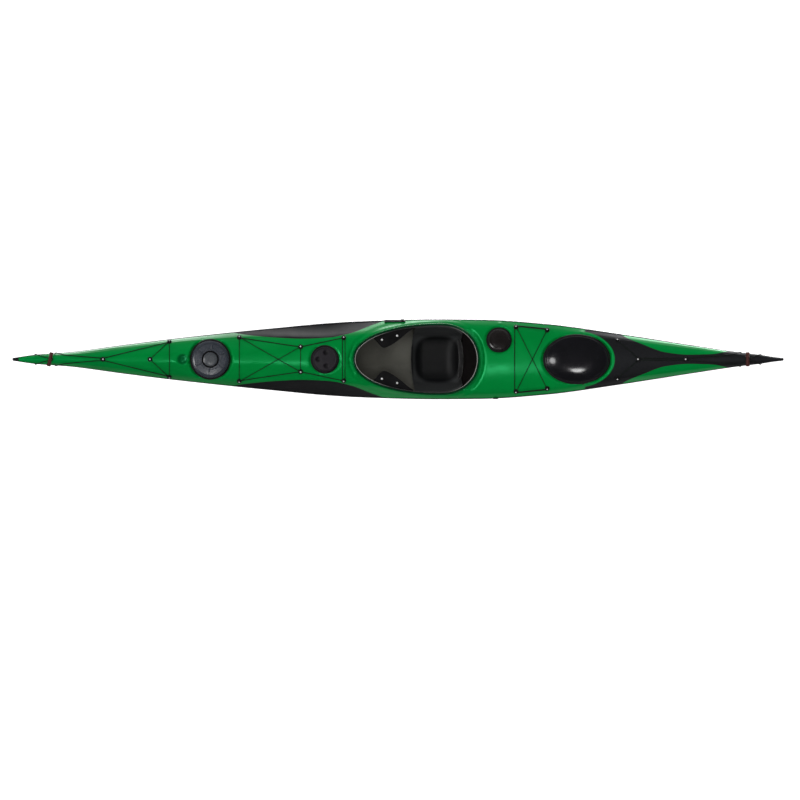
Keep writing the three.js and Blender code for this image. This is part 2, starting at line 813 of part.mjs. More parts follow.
function makeHullShell() {
  const blank = skin(stations.map((x) => {
    const half = hullHalf(x);
    half[half.length - 1][1] -= fit / 2;
    return atStation(x, mirrored(half));
  }));
  return blank.subtract(hollow).subtract(hullHole());
}

function tipHole(x, z) {
  return barAlongY(lineRadius + looseFit, -halfBeam, halfBeam, x, z, tipHoleSteps);
}

function makeDeckShell() {
  const blank = skin(stations.map((x) => {
    const { half, seam } = lines(x);
    return atStation(x, mirrored([[half, seam + fit / 2], ...deckHalf(x)]));
  }));
  const cuts = [
    openRecesses, hollow, plugStemHole(),
    cockpitOpening(),
    ...hatchList.map(hatchOpening),
    ...[bowEnd, sternEnd].flatMap((end) => [tipHole(end.holeX, end.holeZ), tipHole(end.lineX, end.lineZ)]),
  ];
  return cuts.reduce((deck, cut) => deck.subtract(cut), blank);
}

// Half width of a section at a height
function halfAt(outline, z) {
  const half = outline.slice(0, Math.ceil(outline.length / 2));
  const i = Math.min(Math.max(half.findLastIndex((p) => p[1] <= z), 0), half.length - 2);
  const [a, b] = [half[i], half[i + 1]];
  const share = Math.min(Math.max((z - a[1]) / (b[1] - a[1]), 0), 1);
  return a[0] + (b[0] - a[0]) * share;
}

// The band is swept round the sheer, upright outside, and its inside follows hull and deck
function makeSeamBand() {
  const gap = fit + bandEase;
  const starboard = stations.map((x) => {
    const { half, seam } = lines(x);
    const outline = section(x);
    const tip = Math.abs(x) === halfLength ? Math.sign(x) : 0;
    const heights = [seam - bandHeight / 2, seam, seam + bandHeight / 2];
    const inner = heights.map((z) => [x + tip * gap, halfAt(outline, z) + gap, z]);
    const outer = [heights[2], heights[0]].map((z) => (
      [x + tip * (gap + bandThickness), half + gap + bandThickness, z]
    ));
    return [...inner, ...outer];
  });
  const port = starboard.map((ring) => ring.map(([x, y, z]) => [x, -y, z])).reverse();
  return skin([...starboard, ...port], { closed: true }).subtract(clearOfBoat).subtract(plugDisc(fit));
}

// Cockpit coaming: a lip turned down at its edge, on a riser that drops through the deck

function makeCoaming() {
  const profile = [
    [0, 0], [lipWidth - lipEase, 0], [lipWidth, -lipEase], [lipWidth, -lipTurn],
    [lipWidth - lipTurnThickness, -lipTurn], [lipWidth - lipTurnThickness - lipEase, -lipThickness],
    [riserThickness, -lipThickness], [riserThickness, -riserDepth], [0, -riserDepth],
  ];
  const rings = Array.from({ length: coamingSteps }, (_, i) => {
    const angle = coamingAngle(i);
    return profile.map(([out, down]) => {
      const [x, y] = cockpitPoint(angle, out);
      return [x, y, rimHeight(x) + down];
    });
  });
  return skin(rings, { closed: true });
}

// Half width of the cockpit, and the height of the riser's lower edge, at a place
function openingHalf(x) {
  return eggHalfWidth(x, cockpitFront, cockpitBack, cockpitHalfWidth);
}

function underRiser(x) {
  return rimHeight(x) - riserDepth - riserGap;
}

// Seat pan: a shell with a dished floor, a rolled front and cheeks up to the riser

function makeSeat() {
  const rings = Array.from({ length: seatSteps + 1 }, (_, i) => {
    const along = i / seatSteps;
    const x = seatFront + (seatBack - seatFront) * along;
    const top = underRiser(x + seatSkew);
    const out = openingHalf(x + seatSkew) + riserThickness / 2;
    const frontCurl = Math.max(1 - along / seatFrontShare, 0) ** 2 * seatFrontRise;
    const backCurl = Math.max((along - seatBackShare) / (1 - seatBackShare), 0) ** 2 * seatBackRise;
    const floor = seatPanHeight + frontCurl + backCurl;
    const pan = Math.min(seatPanHalf, out - seatPanInset);
    const rise = top - floor;
    const upper = [
      [pan * seatFlatShare, floor], [pan * seatCurveShare, floor + rise * 0.10], [pan, floor + rise * 0.28],
      [out - riserThickness - seatCheekInset, top - seatCheekDrop],
      [out - riserThickness - seatBrimInset, top],
    ];
    const lower = [
      [out + seatBrimOut, top], [out - seatOuterInset, top - seatOuterDrop],
      [pan + seatThickness, floor + rise * 0.20],
      [pan * seatCurveShare + seatCornerThickness, floor - seatThickness + seatCornerThickness],
      [pan * seatFlatShare, floor - seatThickness],
    ];
    const half = [...upper, ...lower];
    const ring = [...half, ...half.map(([y, z]) => [-y, z]).reverse()];
    return ring.map(([y, z]) => [x + seatSkew * (y / cockpitHalfWidth) ** 2, y, z]);
  });
  return skin(rings, { ears: ([, y, z]) => new THREE.Vector2(y, z) });
}

const backbandLow = seatPanHeight + seatBackRise + backbandRise + backbandThickness / 2;

// Backband: a padded strip, rounded top and bottom, bent forward at its sides
function makeBackband() {
  const r = backbandThickness / 2;
  const rings = Array.from({ length: backbandSteps + 1 }, (_, i) => {
    const across = 2 * i / backbandSteps - 1;
    const y = backbandHalf * across;
    const round = r * (1 - backbandPinchShare * across ** 4);
    const bend = backbandCurve * across ** 2;
    const top = backbandLow + backbandHeight * (1 - backbandShoulderShare * across ** 4) - r;
    const turns = Array.from({ length: backbandRoundSteps + 1 }, (_, k) => Math.PI * k / backbandRoundSteps);
    const edges = [
      ...turns.map((turn) => [Math.cos(turn) * round, top + Math.sin(turn) * round]),
      ...turns.map((turn) => [-Math.cos(turn) * round, backbandLow - Math.sin(turn) * round]),
    ];
    return edges.map(([dx, z]) => {
      const upward = (1 - backbandLowCurveShare) * (z - backbandLow) / backbandHeight;
      return [backbandX + dx - bend * (backbandLowCurveShare + upward), y, z];
    });
  });
  return skin(rings);
}

// Thigh brace: a drooping lobe that is bolted up under the riser

function makeBrace(side) {
  const rings = Array.from({ length: braceSteps + 1 }, (_, i) => {
    const x = braceFront + (braceBack - braceFront) * i / braceSteps;
    const out = openingHalf(x) + riserThickness + braceUnder;
    const reach = x < bracePeak ? bracePeak - braceFront : braceBack - bracePeak;
    const lobe = Math.cos(Math.PI / 2 * Math.min(Math.abs(x - bracePeak) / reach, 1)) ** bracePower;
    const inner = openingHalf(x) - braceEnd - (openingHalf(bracePeak) - braceEnd - braceInner) * lobe;
    const top = underRiser(x);
    const bend = openingHalf(x) - braceBend;
    const tip = top - braceDroop * lobe;
    const outline = [
      [out, top], [bend, top], [inner, tip], [inner, tip - braceThickness * braceEdgeShare],
      [bend, top - braceThickness], [out, top - braceThickness],
    ];
    return outline.map(([y, z]) => [x, side * y, z]);
  });
  return skin(rings).intersect(cavity(fit));
}

function makeBulkhead(x, cable) {
  const slab = block(x, x + bulkheadThickness, -halfBeam, halfBeam, -overrun, aboveAll);
  return cavity(fit).intersect(slab).subtract(cable);
}

// Foot rests: a rail on the hull's inner side, and a pedal whose carriage grips it

function railLine() {
  const inner = (x) => {
    const half = grown(section(x), -wall - fit).slice(0, roundBottomShares.length);
    const i = half.findLastIndex((p) => p[1] <= railZ);
    const [a, b] = [half[i], half[Math.min(i + 1, half.length - 1)]];
    return a[0] + (b[0] - a[0]) * (railZ - a[1]) / Math.max(b[1] - a[1], fit);
  };
  const [start, end] = [inner(railFront) - railDepth, inner(railBack) - railDepth];
  return { start, end, angle: Math.atan2(end - start, railBack - railFront) };
}

const rail = railLine();

function alongRail(piece, side) {
  const turned = piece.rotate([0, 0, THREE.MathUtils.radToDeg(rail.angle)]);
  const placed = turned.translate([railFront, rail.start, railZ]);
  return side > 0 ? placed : placed.mirror([0, 1, 0]);
}

function makeRail(side) {
  const run = Math.hypot(railBack - railFront, rail.end - rail.start);
  const bar = block(0, run, 0, railDepth + overrun, -railHeight / 2, railHeight / 2);
  return alongRail(bar, side).intersect(cavity(fit));
}

function makePedal(side) {
  const at = (pedalX - railFront) / Math.cos(rail.angle);
  const grip = railHeight / 2 + fit;
  const reach = grip + carriageWall;
  const room = block(-overrun, carriageLength + overrun, -fit, carriageGrip + overrun, -grip, grip);
  const carriage = block(0, carriageLength, -carriageWall - fit, carriageGrip, -reach, reach).subtract(room);
  const plate = block(0, pedalThickness, -pedalReach, -carriageWall / 2 - fit, -grip, pedalUp);
  const chin = block(0, pedalThickness, -pedalReach, -pedalChinInset, -pedalDown, 0);
  const ribs = Array.from({ length: pedalRibs }, (_, i) => {
    const z = -pedalDown + (pedalUp + pedalDown) * (i + 0.5) / pedalRibs;
    const [front, back] = [pedalThickness - fit, pedalThickness + pedalRibHeight];
    const [low, high] = [z - pedalRibWidth / 2, z + pedalRibWidth / 2];
    return block(front, back, pedalRibInset - pedalReach, -pedalChinInset, low, high);
  });
  const pad = union([plate, chin, ...ribs]).rotate([0, pedalTilt, 0]).translate([carriageLength / 2, 0, 0]);
  return alongRail(carriage.add(pad).translate([at, 0, 0]), side);
}

// Skeg: casing, blade, pin

function cornerRounded(points) {
  const shape = new THREE.Shape();
  points.forEach((point, i) => (i ? shape.lineTo(...point) : shape.moveTo(...point)));
  shape.closePath();
  return shape;
}

function pinHole(radius) {
  return barAlongY(radius, -slotWidth, slotWidth, pivotX, pivotZ, pinSteps);
}

function makeSkegBox(cable) {
  const inner = uprightPlate(skegBoxOutline(-boxWall), slotWidth).add(
    block(pivotX - boxFront + boxWall, pivotX - boxFront + boxLength - boxWall, -slotWidth / 2, slotWidth / 2,
      pivotZ - boxSunk - overrun, pivotZ - boxSunk + boxWall),
  );
  return skegCasing(0).subtract(inner).intersect(outside).subtract(pinHole(pinRadius + fit)).subtract(cable);
}

function makeBlade() {
  const points = bladeOutlineShares.map(([x, z]) => [pivotX + x * bladeReach, pivotZ + z * bladeReach]);
  const depth = bladeThickness - 2 * bladeEdge;
  const plate = new THREE.ExtrudeGeometry(cornerRounded(points), {
    depth, bevelThickness: bladeEdge, bevelSize: bladeTaper, bevelOffset: -bladeTaper, bevelSegments: 1,
  });
  const blade = fromGeometry(plate, new THREE.Matrix4().makeRotationX(Math.PI / 2));
  return blade.translate([0, depth / 2, 0]).subtract(pinHole(pinRadius + fit));
}

function makePin() {
  const half = slotWidth / 2 + boxWall + fit;
  return union([
    barAlongY(pinRadius, -half - pinHeadThickness, half + pinHeadThickness, pivotX, pivotZ, pinSteps),
    barAlongY(pinHeadRadius, half, half + pinHeadThickness, pivotX, pivotZ, pinSteps),
    barAlongY(pinHeadRadius, -half - pinHeadThickness, -half, pivotX, pivotZ, pinSteps),
  ]);
}

// Skeg slider: a track on the steep side deck, and the knob that runs in its groove

const trackMiddle = trackStart + trackLength / 2;

function onSideDeck(piece) {
  const half = deckHalf(trackMiddle);
  const { half: out, seam } = lines(trackMiddle);
  const ridge = half[deckSideShares.length];
  const lean = Math.atan2(ridge[1] - seam, out - ridge[0]);
  const y = out + (ridge[0] - out) * trackUpShare;
  const turned = piece.rotate([-THREE.MathUtils.radToDeg(lean), 0, 0]);
  return turned.translate([trackStart, y, deckHeight(trackMiddle, y)]);
}

function makeTrack() {
  const bar = block(0, trackLength, -trackWidth / 2, trackWidth / 2, -trackSink, trackHeight);
  const groove = block(grooveEnd, trackLength - grooveEnd, -grooveWidth / 2, grooveWidth / 2,
    trackHeight - grooveDepth, trackHeight + overrun);
  return onSideDeck(bar.subtract(groove)).subtract(clearOfBoat);
}

function makeKnob() {
  const foot = block(0, knobLength, -grooveWidth / 2 + looseFit, grooveWidth / 2 - looseFit,
    trackHeight - grooveDepth + fit, trackHeight + fit + lipEase);
  const gripLow = trackHeight + fit;
  const grip = block(0, knobLength, -knobWidth / 2, knobWidth / 2, gripLow, gripLow + knobHeight);
  return onSideDeck(foot.add(grip).translate([trackLength - grooveEnd - fit - knobLength, 0, 0]));
}

// Cords, tubes and loops

// Rings of a round tube along points, square to its run and with no twist
function tube(points, radius, sides = cordSides, closed = false) {
  const spots = points.map((p) => new THREE.Vector3(...p));
  const count = spots.length;
  const ways = spots.map((spot, i) => {
    const before = closed || i > 0 ? spots[(i + count - 1) % count] : spot;
    const after = closed || i < count - 1 ? spots[(i + 1) % count] : spot;
    const [into, out] = [spot.clone().sub(before).normalize(), after.clone().sub(spot).normalize()];
    return into.add(out).normalize();
  });
  let across = new THREE.Vector3(0, 0, 1).cross(ways[0]).normalize();
  const rings = spots.map((spot, i) => {
    across = across.clone().sub(ways[i].clone().multiplyScalar(across.dot(ways[i]))).normalize();
    const up = ways[i].clone().cross(across);
    return Array.from({ length: sides }, (_, k) => {
      const turn = 2 * Math.PI * k / sides;
      const out = across.clone().multiplyScalar(Math.cos(turn)).addScaledVector(up, Math.sin(turn));
      return spot.clone().addScaledVector(out, radius).toArray();
    });
  });
  return skin(rings, { closed });
}

// A route with its corners rounded
function rounded(points, bend, closed) {
  const count = points.length;
  return points.flatMap((point, i) => {
    if (!closed && (i === 0 || i === count - 1)) return [point];
    const here = new THREE.Vector3(...point);
    const before = new THREE.Vector3(...points[(i + count - 1) % count]);
    const after = new THREE.Vector3(...points[(i + 1) % count]);
    if (here.clone().sub(before).angleTo(after.clone().sub(here)) < sharpTurn) return [point];
    const nearest = Math.min(here.distanceTo(before), here.distanceTo(after));
    const cut = Math.min(bend, nearest * cordCornerShare);
    const start = here.clone().add(before.sub(here).setLength(cut));
    const end = here.clone().add(after.sub(here).setLength(cut));
    const bent = new THREE.QuadraticBezierCurve3(start, here, end);
    return bent.getPoints(cordBendSteps).map((p) => p.toArray());
  });
}

// A taut run between two places is straight but for where the deck's swell holds it up
function tautRun(from, to, radius) {
  const reach = Math.hypot(to[0] - from[0], to[1] - from[1]);
  const count = Math.max(Math.ceil(reach / cordSample), 1);
  const at = (i) => [from[0] + (to[0] - from[0]) * i / count, from[1] + (to[1] - from[1]) * i / count];
  const heights = Array.from({ length: count + 1 }, (_, i) => {
    if (i === 0) return from[2];
    if (i === count) return to[2];
    const [x, y] = at(i);
    return deckHeight(x, y) + (radius + cordClearance) / Math.cos(deckLean(x, y));
  });
  const kept = [];
  heights.forEach((z, i) => {
    while (kept.length > 1) {
      const [a, b] = kept.slice(-2);
      if ((heights[b] - heights[a]) * (i - a) > (z - heights[a]) * (b - a)) break;
      kept.pop();
    }
    kept.push(i);
  });
  const needed = [0];
  for (const [k, i] of kept.entries()) {
    if (k === 0 || i === count) continue;
    const [a, b] = [needed.at(-1), kept[k + 1]];
    const bare = (j) => heights[a] + (heights[b] - heights[a]) * (j - a) / (b - a) < heights[j] - cordSlack;
    if (kept.some((j) => j > a && j < b && bare(j))) needed.push(i);
  }
  needed.push(count);
  return needed.map((i) => [...at(i), heights[i]]);
}

// A place above the deck: its lift is square to the surface
function lifted([x, y, lift]) {
  const lean = deckLean(x, y);
  return [x, y + lift * Math.sin(lean), deckHeight(x, y) + lift * Math.cos(lean)];
}

function overDeck(spots, radius, closed) {
  const places = spots.map(lifted);
  const runs = closed ? [...places, places[0]] : places;
  const route = runs.slice(1).flatMap((to, i) => tautRun(runs[i], to, radius).slice(0, -1));
  return closed ? route : [...route, runs.at(-1)];
}

function spot(name, side = 1, lift = lineLift, dx = 0, dy = 0) {
  const [x, y] = fittingSpots[name];
  return [x + dx, side * (y + dy), lift];
}

const line = (name, side, dx, dy) => spot(name, side, lineLift, dx, dy);
const bungee = (name, side, dx, dy) => spot(name, side, bungeeLift, dx, dy);

function between(a, b, lift) {
  return [(a[0] + b[0]) / 2, (a[1] + b[1]) / 2, lift];
}

// The line at an end goes through the boat's solid tip behind the toggle
function endLine(end, inner) {
  const half = sectionBetween(end.lineX).reduce((most, p) => Math.max(most, p[0]), 0);
  const out = half + lineRadius + cordClearance;
  const shoulder = [end.lineX - end.side * lineTaper, half * lineShoulderShare, lineLift];
  const away = overDeck([inner, shoulder], lineRadius, false);
  const starboard = [...away, [end.lineX, out, end.lineZ]];
  return [...starboard, [end.lineX, 0, end.lineZ], ...flipped(starboard)];
}

function flipped(route) {
  return route.map(([x, y, z]) => [x, -y, z]).reverse();
}

// A line that runs through fittings to an end of the boat, round it and back
function endToEnd(end, names) {
  const spots = names.map((name) => (
    fittingSpots[name][1] ? line(name, 1) : [fittingSpots[name][0], lineHoleSpread / 2, lineLift]
  ));
  const run = overDeck(spots, lineRadius, false).slice(0, -1);
  return [...run, ...endLine(end, spots.at(-1)), ...flipped(run)];
}

function cordRoutes() {
  const foreCross = between(bungee('D', 1), bungee('E', -1), bungeeLift + crossingLift);
  const aftCross = between(bungee('G', 1), bungee('H', -1), bungeeLift + crossingLift);
  const stretch = (spots, closed) => [overDeck(spots, bungeeRadius, closed), bungeeRadius, closed];
  const lay = (spots) => [overDeck(spots, lineRadius, false), lineRadius, false];
  return {
    bow_deck_line: [endToEnd(bowEnd, ['B', 'A']), lineRadius, false],
    bow_bungee: stretch([bungee('C', 1), bungee('B', 1), bungee('B', -1)], true),
    foredeck_bungee: stretch(
      [bungee('D', 1), foreCross, bungee('E', -1), bungee('E', 1), bungee('D', -1)], true,
    ),
    foredeck_deck_line: lay([
      line('D', 1), line('E', 1), line('F', 1, -crossSpread),
      line('F', -1, -crossSpread), line('E', -1), line('D', -1),
    ]),
    front_cross_bungee: stretch([bungee('F', 1, crossSpread), bungee('F', -1, crossSpread)], false),
    aft_bungee: stretch([bungee('G', 1), bungee('H', 1), bungee('G', -1), bungee('H', -1), aftCross], true),
    aft_cross_line: lay([
      line('H', 1, 0, lineOutboard),
      line('G', 1, lineInset, lineOutboard), line('G', 1, -crossSpread, -lineInset),
      line('G', -1, -crossSpread, -lineInset), line('G', -1, lineInset, lineOutboard),
      line('H', -1, 0, lineOutboard),
    ]),
    stern_deck_line: [endToEnd(sternEnd, ['I', 'J', 'K']), lineRadius, false],
  };
}

function cordTube([route, radius, closed]) {
  return tube(rounded(route, cordBend, closed), radius, cordSides, closed);
}

// A faceted hole's corner radius, so that its flats clear the cord
function holeRadius(radius) {
  return (radius + fit) / Math.cos(Math.PI / holeSides);
}

function cordHole([route, radius, closed]) {
  return tube(rounded(route, cordBend, closed), holeRadius(radius), holeSides, closed);
}

// A deck fitting: a low dome whose root is trimmed to the deck, with the cords' holes
function makeFitting(name, side, cordHoles) {
  const [x, y] = [fittingSpots[name][0], fittingSpots[name][1] * side];
  const r = fittingRadius;
  const dome = fromGeometry(new THREE.LatheGeometry([
    new THREE.Vector2(0, -fittingRoot), new THREE.Vector2(r, -fittingRoot),
    new THREE.Vector2(r, fittingHeight / 2),
    new THREE.Vector2(r * fittingTopShare, fittingHeight), new THREE.Vector2(0, fittingHeight),
  ], fittingSides)).rotate([90, 0, 0]);
  const lean = THREE.MathUtils.radToDeg(deckLean(x, y));
  const set = dome.rotate([-lean, 0, 0]).translate([x, y, deckHeight(x, y)]).subtract(clearOfBoat);
  return set.subtract(cordHoles);
}

// End toggle: a waisted bar on its rope loop

function togglePlace(end) {
  const z = deckHeight(end.toggleX, 0) + toggleRadius + fit;
  return { x: end.toggleX, z };
}

function loopRoute(end) {
  const { x, z } = togglePlace(end);
  const near = x + end.side * (toggleRadius + lineRadius * 2);
  const far = x - end.side * (toggleRadius + knotReach / 2);
  const starboard = [
    [end.holeX, loopSpread, end.holeZ], [near, strandSpread + lineRadius / 2, z], [far, strandSpread, z],
  ];
  return [...starboard, ...starboard.map(([px, py, pz]) => [px, -py, pz]).reverse()];
}

function loopTube(end) {
  return tube(rounded(loopRoute(end), loopBend, true), lineRadius, cordSides, true);
}

function makeToggle(end) {
  const { x, z } = togglePlace(end);
  const other = toggleProfileShares.slice(0, -1).map(([r, y]) => [r, -y]).reverse();
  const bar = fromGeometry(new THREE.LatheGeometry([...toggleProfileShares, ...other].map(([r, y]) => (
    new THREE.Vector2(r * toggleRadius, y * toggleLength / 2)
  )), toggleSides));
  const bore = tube(rounded(loopRoute(end), loopBend, true), holeRadius(lineRadius), holeSides, true);
  return bar.rotate([0, 0, end.tilt]).translate([x, 0, z]).subtract(bore);
}

// Drain fitting on the port seam, round, with a stem through hull and deck

function plugDisc(extra) {
  const { half, seam } = lines(plugX);
  const outer = -half - plugStand - extra;
  return barAlongY(plugRadius + extra, outer, -half + plugStemLength, plugX, seam, pinSteps);
}

function makePlug() {
  const { half, seam } = lines(plugX);
  const stem = barAlongY(plugStem, -half - fit, -half + plugStemLength, plugX, seam, pinSteps);
  const outside = block(plugX - overrun, plugX + overrun, -halfBeam - overrun, -half + wall,
    seam - overrun, seam + overrun);
  return plugDisc(0).subtract(clearOfBoat).intersect(outside).add(stem);
}

// Cable tube from the slider, along the starboard side, to the skeg casing
function cableRoute() {
  const side = (x, share, z) => [x, lines(x).half * share, z];
  return [
    side(trackStart + trackLength, tubeAtTrackShare, tubeHeights.track),
    side(tubeForwardX, tubeAtTrackShare, tubeHeights.forward),
    side(bulkheadPlaces.day, tubeAtDayShare, tubeHeights.day),
    side(bulkheadPlaces.rear, tubeAtRearShare, tubeHeights.rear),
    side(tubeBendX, tubeAtBendShare, tubeHeights.bend),
    [tubeNearBoxX, tubeNearBoxY, tubeHeights.nearBox],
    [pivotX - boxFront + tubeBoxReach, 0, tubeHeights.box],
  ];
}

function cableTube(extra) {
  const smooth = new THREE.CatmullRomCurve3(cableRoute().map((p) => new THREE.Vector3(...p)));
  return tube(smooth.getPoints(tubeSteps).map((p) => p.toArray()), tubeRadius + extra, tubeSides);
}

// Assembly

const boat = new THREE.Group();

function group(parent) {
  const made = new THREE.Group();
  parent.add(made);
  return made;
}

function add(parent, name, piece, finish) {
  const { vertProperties, triVerts } = piece.getMesh();
  const geometry = new THREE.BufferGeometry();
  geometry.setAttribute('position', new THREE.BufferAttribute(new Float32Array(vertProperties), 3));
  geometry.setIndex(new THREE.BufferAttribute(new Uint32Array(triVerts), 1));
  geometry.computeVertexNormals();
  const [color, roughness, metalness] = finishes[finish];
  const mesh = new THREE.Mesh(geometry, new THREE.MeshStandardMaterial({ color, roughness, metalness }));
  mesh.name = name;
  parent.add(mesh);
  return mesh;
}

const sides = [['starboard', 1], ['port', -1]];
const cableRoom = cableTube(fit);

const shells = group(boat);
add(shells, 'hull_shell', makeHullShell(), 'hullWhite');
add(shells, 'deck_shell', makeDeckShell(), 'deckGreen');
add(shells, 'seam_band', makeSeamBand(), 'seamBlack');
for (const [name, x] of Object.entries(bulkheadPlaces)) {
  add(shells, `${name}_bulkhead`, makeBulkhead(x, cableRoom), 'innerGrey');
}

const cockpit = group(boat);
add(cockpit, 'cockpit_coaming', makeCoaming(), 'deckGreen');
add(cockpit, 'seat_pan', makeSeat(), 'mouldedBlack');
add(cockpit, 'backband', makeBackband(), 'padBlack');
for (const [name, side] of sides) {
  add(cockpit, `thigh_brace_${name}`, makeBrace(side), 'mouldedBlack');
  add(cockpit, `footbrace_rail_${name}`, makeRail(side), 'railMetal');
  add(cockpit, `foot_pedal_${name}`, makePedal(side), 'mouldedBlack');
}

for (const [name, hatch] of Object.entries(hatches)) {
  const place = group(boat);
  place.applyMatrix4(hatchMatrix(hatch));
  const rimMaker = name === 'pod' ? podCup : hatchRim;
  const coverMaker = name === 'front' ? ribbedCover : hatchCover;
  add(place, name === 'pod' ? 'pod_hatch_cup' : `${name}_hatch_rim`, rimMaker(hatch), 'mouldedBlack');
  add(place, `${name}_hatch_cover`, coverMaker(hatch), name === 'day' ? 'dayBrown' : 'hatchBlack');
}

const skeg = group(boat);
add(skeg, 'skeg_box', makeSkegBox(cableRoom), 'skegBlack');
add(skeg, 'skeg_blade', makeBlade(), 'skegBlack');
add(skeg, 'skeg_pivot_pin', makePin(), 'steel');
add(skeg, 'skeg_slider_track', makeTrack(), 'mouldedBlack');
add(skeg, 'skeg_slider_knob', makeKnob(), 'mouldedBlack');
add(skeg, 'skeg_cable_tube', cableTube(0), 'mouldedBlack');

const rigging = group(boat);
const routes = cordRoutes();
const cordHoles = union(Object.values(routes).map(cordHole));
for (const [name, route] of Object.entries(routes)) add(rigging, name, cordTube(route), 'cordBlack');
for (const [name, [, y]] of Object.entries(fittingSpots)) {
  const copies = y === 0 ? [['', 1]] : sides.map(([word, side]) => [`_${word}`, side]);
  for (const [word, side] of copies) {
    const label = `deck_fitting_${name.toLowerCase()}${word}`;
    add(rigging, label, makeFitting(name, side, cordHoles), 'mouldedBlack');
  }
}
for (const [name, end] of [['bow', bowEnd], ['stern', sternEnd]]) {
  add(rigging, `${name}_toggle`, makeToggle(end), 'toggleRed');
  add(rigging, `${name}_toggle_loop`, loopTube(end), 'cordBlack');
}
add(rigging, 'side_plug', makePlug(), 'mouldedBlack');

export default boat;
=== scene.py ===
from math import atan2, copysign, cos, hypot, pi, radians, sin, tan
from types import SimpleNamespace

import bmesh
import bpy
from bmesh import ops
from mathutils import Matrix, Vector


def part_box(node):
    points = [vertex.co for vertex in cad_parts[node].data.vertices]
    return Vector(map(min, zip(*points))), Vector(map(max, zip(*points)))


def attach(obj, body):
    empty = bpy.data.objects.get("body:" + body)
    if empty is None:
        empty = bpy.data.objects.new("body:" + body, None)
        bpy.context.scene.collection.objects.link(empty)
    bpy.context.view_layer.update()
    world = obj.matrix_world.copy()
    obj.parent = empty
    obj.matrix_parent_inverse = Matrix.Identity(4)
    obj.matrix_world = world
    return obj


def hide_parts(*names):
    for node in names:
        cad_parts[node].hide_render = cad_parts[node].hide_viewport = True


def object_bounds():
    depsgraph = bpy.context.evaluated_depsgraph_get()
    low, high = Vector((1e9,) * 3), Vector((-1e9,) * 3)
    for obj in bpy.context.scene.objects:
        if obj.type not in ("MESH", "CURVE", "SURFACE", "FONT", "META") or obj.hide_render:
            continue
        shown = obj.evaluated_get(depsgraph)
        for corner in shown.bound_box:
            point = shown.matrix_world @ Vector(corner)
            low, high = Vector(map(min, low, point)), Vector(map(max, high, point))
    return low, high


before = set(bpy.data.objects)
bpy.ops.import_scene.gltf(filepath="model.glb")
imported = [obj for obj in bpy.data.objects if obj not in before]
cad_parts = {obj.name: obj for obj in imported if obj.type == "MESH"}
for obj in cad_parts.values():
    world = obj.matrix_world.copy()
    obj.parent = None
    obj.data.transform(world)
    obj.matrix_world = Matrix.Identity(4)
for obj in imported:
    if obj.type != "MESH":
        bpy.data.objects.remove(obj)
cad_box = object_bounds()

MM = 0.001


def mm(value):
    """A length, or a table of lengths, given in millimetres."""
    return value * MM if isinstance(value, (int, float)) else [mm(part) for part in value]


# Sizes from the frame
keel_low, keel_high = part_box("hull_shell")
HALF_LENGTH = (keel_high.x - keel_low.x) / 2
BAND_REACH = mm(3.3)
HALF_BEAM = mm(278) - BAND_REACH
BOW_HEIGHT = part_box("deck_shell")[1].z
WALL = mm(4)

# Lines of the boat, one row a station: place along the half length, half beam,
# heights of keel, seam and deck crown, ridge of the deck out and up, swell of the
# deck side, and how far the bottom has turned from round to vee
LINE_SHARES = [
    (-1.0000, 0.030, 0.963, 0.979, 1.000, 0.80, 0.60, 0.10, 1.00),
    (-0.9430, 0.111, 0.735, 0.912, 0.982, 0.80, 0.60, 0.10, 1.00),
    (-0.8500, 0.180, 0.352, 0.795, 0.947, 0.82, 0.60, 0.10, 0.95),
    (-0.7200, 0.346, 0.254, 0.684, 0.888, 0.83, 0.58, 0.10, 0.80),
    (-0.5925, 0.500, 0.203, 0.588, 0.842, 0.84, 0.57, 0.10, 0.62),
    (-0.4113, 0.690, 0.128, 0.456, 0.832, 0.80, 0.62, 0.06, 0.35),
    (-0.3057, 0.790, 0.087, 0.419, 0.851, 0.71, 0.74, -0.05, 0.20),
    (-0.1913, 0.894, 0.036, 0.395, 0.842, 0.61, 0.84, -0.09, 0.08),
    (-0.1000, 0.947, 0.000, 0.388, 0.803, 0.66, 0.83, -0.02, 0.00),
    (0.1000, 0.996, 0.000, 0.388, 0.618, 0.85, 0.70, 0.05, 0.00),
    (0.2151, 0.988, 0.011, 0.391, 0.595, 0.85, 0.63, 0.05, 0.00),
    (0.3864, 0.879, 0.086, 0.426, 0.612, 0.82, 0.60, 0.08, 0.15),
    (0.5687, 0.640, 0.137, 0.477, 0.677, 0.76, 0.74, 0.08, 0.40),
    (0.7720, 0.336, 0.216, 0.621, 0.758, 0.76, 0.74, 0.08, 0.75),
    (0.8860, 0.173, 0.288, 0.723, 0.823, 0.78, 0.70, 0.08, 0.90),
    (0.9408, 0.109, 0.337, 0.784, 0.840, 0.80, 0.65, 0.08, 1.00),
    (0.9725, 0.062, 0.551, 0.807, 0.856, 0.80, 0.65, 0.08, 1.00),
    (1.0000, 0.030, 0.809, 0.830, 0.872, 0.80, 0.60, 0.08, 1.00),
]
LINE_NAMES = ("half", "keel", "seam", "crown", "ridge_out", "ridge_up", "swell", "vee")
ROUND_BOTTOM_SHARES = [
    (0, 0), (0.15, 0), (0.50, 0.085), (0.76, 0.23), (0.91, 0.45), (0.975, 0.72), (1, 1),
]
VEE_BOTTOM_SHARES = [
    (0, 0), (0.12, 0), (0.30, 0.16), (0.52, 0.39), (0.72, 0.62), (0.89, 0.83), (1, 1),
]
RIM_HEIGHT_SHARES = [
    (-0.110, 0.867), (-0.047, 0.788), (0.013, 0.721), (0.0725, 0.667), (0.166, 0.630), (0.218, 0.605),
]
EASE_REACH = mm(16)
EASE_SHARE = 0.2
SLOPE_PROBE = mm(8)

